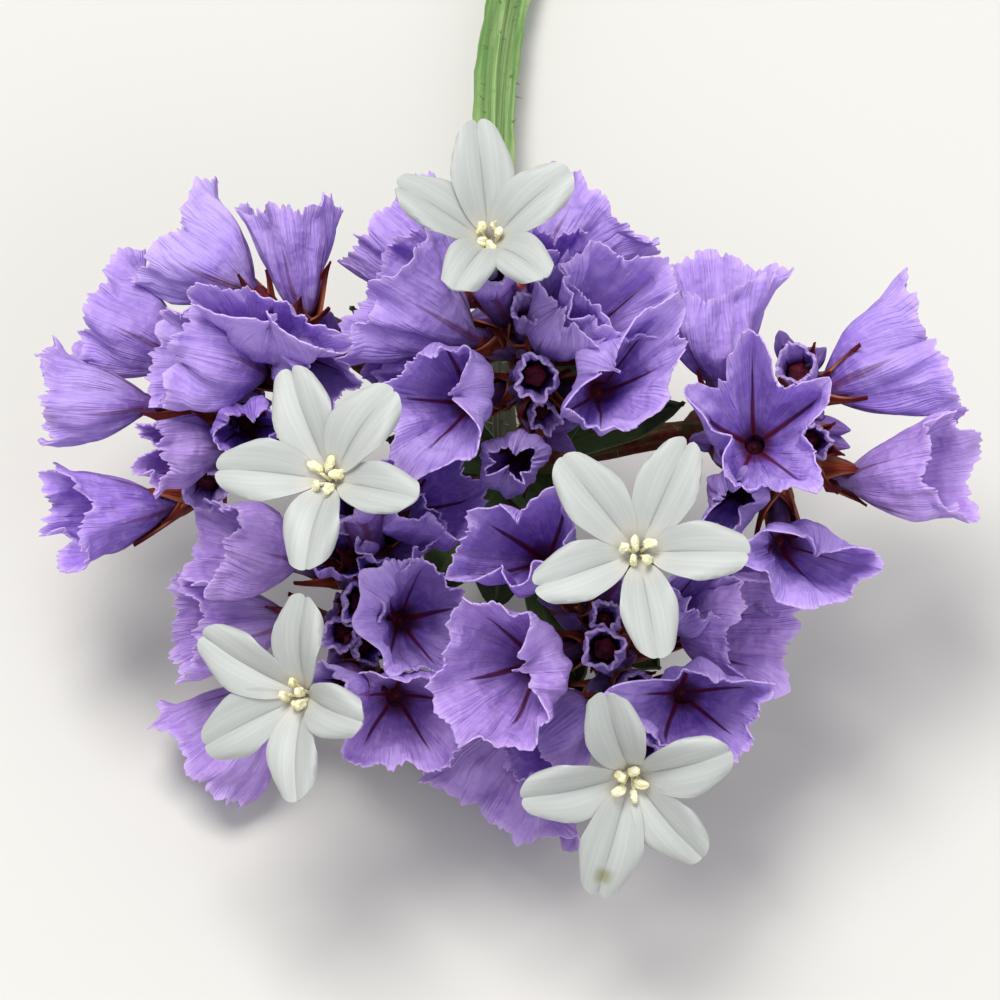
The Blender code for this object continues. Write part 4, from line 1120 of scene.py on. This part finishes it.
def corolla(number, centre, axis, first_petal, rise, settings):
    wide = around_face(first_petal)
    first, second = across(axis, wide)
    foot = centre - axis * (COROLLA_ABOVE_SLEEVE + COROLLA_TUBE_SUNK)
    neck = centre - axis * COROLLA_THROAT_DEPTH
    path = [foot.lerp(neck, share) for share in (0, 0.5, 0.85)]
    path += [neck, neck.lerp(centre, 0.6), centre]
    radii = [COROLLA_TUBE_R] * 4 + [COROLLA_TUBE_R * 1.2, COROLLA_THROAT_R]
    parts, anthers = [], []
    for i, (more, reach, slim) in enumerate(settings):
        turn = math.tau * i / PETALS + math.radians(more)
        out = first * math.cos(turn) + second * math.sin(turn)
        stained = float((number, i) == STAINED_PETAL)
        parts.append(petal(centre, axis, out, rise, petal_chance, reach, slim, stained))
    petals = joined(f"petals_{number}", parts)
    thicken(petals, PETAL_THICKNESS)
    # The tube's tint marks it for the painted shade at its top.
    tube = rod("tube", path, radii, 24, tint=(0, 1))
    petals = joined(f"petals_{number}", [petals, tube])
    dress(petals, WHITE, f"corolla_{number}")
    for i in range(STAMENS):
        turn = math.tau * (i + 0.5) / STAMENS
        out = first * math.cos(turn) + second * math.sin(turn)
        height = STAMEN_HEIGHT * petal_chance.uniform(0.75, 1.1)
        tip = centre + axis * height + out * (STAMEN_CIRCLE_R * petal_chance.uniform(0.7, 1.2))
        filament = [centre - axis * 0.5 + out * 0.2, centre + axis * 0.4 + out * 0.4, tip]
        anthers.append(rod("filament", smooth_path(filament, 3), [FILAMENT_R] * 7, 8))
        along = first.cross(out) * petal_chance.uniform(-0.5, 0.5) + out * petal_chance.uniform(-0.4, 1.2)
        tilted = (axis * 0.8 + along + second * petal_chance.uniform(-0.8, 0.8)).normalized()
        anthers.append(anther(tip, tilted, petal_chance))
    dress(joined(f"stamens_{number}", anthers), POLLEN, f"corolla_{number}")


# For each petal, the degrees that it is turned off its even place, and its share of length and width.
PETAL_SETTINGS = (
    ((0, 1.08, 1.0), (-7, 1.03, 0.95), (6, 0.98, 0.78), (-7, 1.0, 0.78), (5, 0.97, 0.95)),
    ((0, 1.04, 1.0), (-8, 1.0, 1.0), (8, 0.88, 1.0), (15, 0.98, 0.85), (10, 0.96, 1.0)),
    ((8, 1.05, 0.95), (-6, 1.0, 1.0), (-5, 0.96, 0.95), (-11, 0.93, 0.85), (6, 0.94, 1.0)),
    ((6, 0.97, 0.95), (1, 1.06, 1.0), (-6, 1.04, 1.0), (-7, 0.95, 0.95), (0, 0.98, 0.9)),
    ((4, 1.08, 1.0), (-8, 0.93, 0.95), (-10, 1.0, 0.95), (-4, 1.03, 0.95), (8, 0.97, 1.0)),
)
FLOWERS = [flower for plan in SPIKES.values() for flower in plan["flowers"]]
for number, (flower, settings) in enumerate(zip(FLOWERS, PETAL_SETTINGS), start=1):
    middle, off_axis, leans_to, petal_turn, petal_rise = flower
    corolla(number, head(*middle), lean(off_axis, leans_to), petal_turn, math.radians(petal_rise), settings)

# %% [markdown]
# ## Stem, branches and leafy wings
#
# A statice stem has three thin wings with crinkled edges. In section it is a star, so each ring of
# the rod has a long radius at a wing and a short one in a valley. The wings' edges wander a little.

# %% Green skin
STEM_ROUGHNESS = 0.6
STEM_GLOSS = 0.2


def stem_green():
    made, shader, start = new_material("stem_green", STEM_ROUGHNESS, STEM_GLOSS)
    place = start.node("Attribute", {"attribute_name": "place"}, output="Vector")
    tint = start.node("Attribute", {"attribute_name": "tint"}, output="Vector")
    around_x, around_y, out = place.parts()
    dark, _, _ = tint.parts()
    spot = start.node("TexCoord", {}, {}, output="Object")
    lines = place.noise(1.0, 4.0, (16, 16, 10))
    patches = spot.noise(180.0, 3.0)
    grain = spot.noise(2400.0, 3.0)
    paint = lines.step(0.35, 0.65).paint(colour(92, 128, 70), colour(140, 168, 106))
    paint = around_y.step(-0.3, 0.3, 0.0, 0.4).paint(paint, colour(80, 118, 58))
    paint = (patches.step(0.45, 0.7) * 0.5).paint(paint, colour(156, 172, 116))
    paint = (grain.step(0.55, 0.8) * 0.35).paint(paint, colour(74, 98, 52))
    # Dark brown over the last part of each green piece along its length: on the stem this is the end at the fork,
    # painted shade under the flower head, and the tips of the leafy wings and hairs darken the same way.
    paint = out.step(0.69, 0.79, 0.0, 0.95).paint(paint, colour(42, 36, 20))
    paint = (dark * 0.72).paint(paint, colour(38, 58, 26))
    paint = ((around_x * around_x).step(0.0, 0.03, 1.0, 0.0) * dark * 0.5).paint(paint, colour(98, 112, 60))
    link(paint, shader, "Base Color")
    bump = start.node("Bump", {}, {"Strength": 0.5, "Distance": 0.00015, "Height": lines + grain * 0.5})
    link(bump, shader, "Normal")
    return made


GREEN = stem_green()
print("material:", GREEN.name)

# %% Stem
STEM_WING_R = 2.0
STEM_VALLEY_R = 0.95
WING_HALF = 0.22
STEM_TAPER = 0.2
BRANCH_SCALE = 0.5
FORK_BURIED = 0.6
STEM_END_X = 7.0
STEM_END_FROM_HEAD = 79.0
STEM_END_Z = 1.26
STEM_BENDS = ((0.25, -2.6), (0.5, -3.8), (0.8, -1.6))
STEM_STEPS = 16
STEM_SIDES = 72
WINGS = 3
LEAF_WINGS = (
    ((-1.0, 2.5, -11.0), (-7.8, 4.2, -1.0), 1.3),
    ((-1.0, 4.0, -10.5), (-10.2, 13.2, -1.5), 1.2),
    ((2.0, 3.0, -11.0), (12.6, 6.6, -1.0), 1.3),
    ((0.5, 0.5, -11.0), (-0.4, -7.6, -2.0), 2.0),
    ((0.0, 1.0, -11.0), (-5.0, -6.4, -2.5), 2.2),
    ((0.5, 2.5, -11.0), (4.6, -0.6, -3.0), 2.0),
    ((2.2, -2.8, -7.5), (5.4, -13.0, -3.0), 1.9),
    ((3.0, -4.6, -6.0), (11.0, -11.6, -4.0), 1.9),
    ((2.4, 2.6, -6.0), (6.2, 10.6, -4.0), 1.9),
)
LEAF_THICKNESS = 0.3
HAIR_RADII = (0.06, 0.045, 0.01)
HAIRS = 170
HAIRS_ON_BRANCH = 16
stem_chance = random.Random("stem")


def winged_rod(name, path, scales, upwards):
    """A rod whose section is a three-pointed star with thin wings."""
    spread = np.arange(STEM_SIDES) * math.tau / STEM_SIDES
    off_wing = np.abs(np.angle(np.exp(1j * WINGS * spread))) / WINGS
    radii = []
    phases = [stem_chance.uniform(0, math.tau) for _ in range(WINGS)]
    for number, scale in enumerate(scales):
        nearest_wing = np.round(spread / (math.tau / WINGS)).astype(int) % WINGS
        wander = np.array([math.sin(number * 0.9 + phases[i]) + math.sin(number * 2.3 + 2 * phases[i]) for i in nearest_wing])
        wing_r = STEM_WING_R * scale - 0.08 + 0.06 * wander
        slab = WING_HALF / np.maximum(np.sin(off_wing), 1e-3)
        radii.append(np.maximum(np.minimum(wing_r, slab), STEM_VALLEY_R * scale * 0.9))
    return rod(name, path, radii, STEM_SIDES, upwards)


def leaf_wing(root, tip, half_width):
    """A narrow green blade with a midrib."""
    side, up = across((tip - root).normalized(), W.cross(tip - root))
    t = np.linspace(0, 1, 14)[:, None, None]
    x = np.linspace(-1, 1, 9)[None, :, None]
    half = half_width * (0.6 + 0.4 * np.sin(np.pi * np.clip(t / 0.7, 0, 1) / 2)) * np.clip((1 - t) / 0.3, 0, 1) ** 0.6
    lift = 0.25 * np.abs(x) * half + 0.12 * np.sin(11 * t + 2 * x) * t
    line = as_array(root) + as_array(tip - root) * t
    grid = line + as_array(side) * (half * x) + as_array(up) * lift
    return laid("leaf_wing", flat_blank, grid, (x[:, :, 0], 0 * x[:, :, 0], t[:, :, 0]), (1, 0))


def hair(root, outwards, length):
    """A short stiff bristle."""
    return rod("hair", [root, root + outwards * length * 0.5, root + outwards * length], HAIR_RADII, 4)


fork = head(*FORK)
stem_end = Vector((STEM_END_X, HEAD_AT.y + STEM_END_FROM_HEAD, STEM_END_Z))
bends = [stem_end.lerp(fork, share) + U * sideways for share, sideways in STEM_BENDS]
stem_path = smooth_path([stem_end, *bends, fork + W * FORK_BURIED], STEM_STEPS)
tapers = [1 - STEM_TAPER * i / (len(stem_path) - 1) for i in range(len(stem_path))]
stem = winged_rod("stem", stem_path, tapers, Vector((0, 0, 1)))
branches = []
for plan in SPIKES.values():
    branch = smooth_path([fork, *(head(*point) for point in plan["rachis"])], ROD_STEPS)[: ROD_STEPS + 1]
    branches.append(winged_rod("branch", branch, [BRANCH_SCALE] * len(branch), W))
blades = joined("leaf_wings", [leaf_wing(head(*root), head(*tip), half) for root, tip, half in LEAF_WINGS])
thicken(blades, LEAF_THICKNESS)


def bristles(rods, counts):
    """Hairs that stand on the surface of each rod, at faces picked along it."""
    hairs = []
    for thing, count in zip(rods, counts):
        for face in stem_chance.sample(list(thing.data.polygons), count):
            outwards = (face.normal + Vector([stem_chance.uniform(-0.5, 0.5) for _ in range(3)])).normalized()
            root, length = face.center / MM, stem_chance.uniform(0.35, 0.7)
            if (root + outwards * length).z < FLOOR_CLEAR:
                outwards.z = abs(outwards.z)
            hairs.append(hair(root, outwards, length))
    return joined("hairs", hairs)


hairs = bristles([stem, *branches], [HAIRS] + [HAIRS_ON_BRANCH] * len(branches))
dress(hairs, GREEN, "stem")
dress(joined("winged_stem", [stem]), GREEN, "stem")
dress(blades, GREEN, "stem")
dress(joined("branches", branches), RACHIS_SKIN, "stem")

# %% Floor
bpy.ops.object.select_all(action="DESELECT")
bpy.ops.mesh.primitive_plane_add(size=2 * FLOOR_HALF)
floor = bpy.context.object
floor.name = "floor"
floor_material, floor_shader, _ = new_material("floor", 0.9)
floor_shader.inputs["Base Color"].default_value = colour(198, 196, 190)
floor.data.materials.append(floor_material)
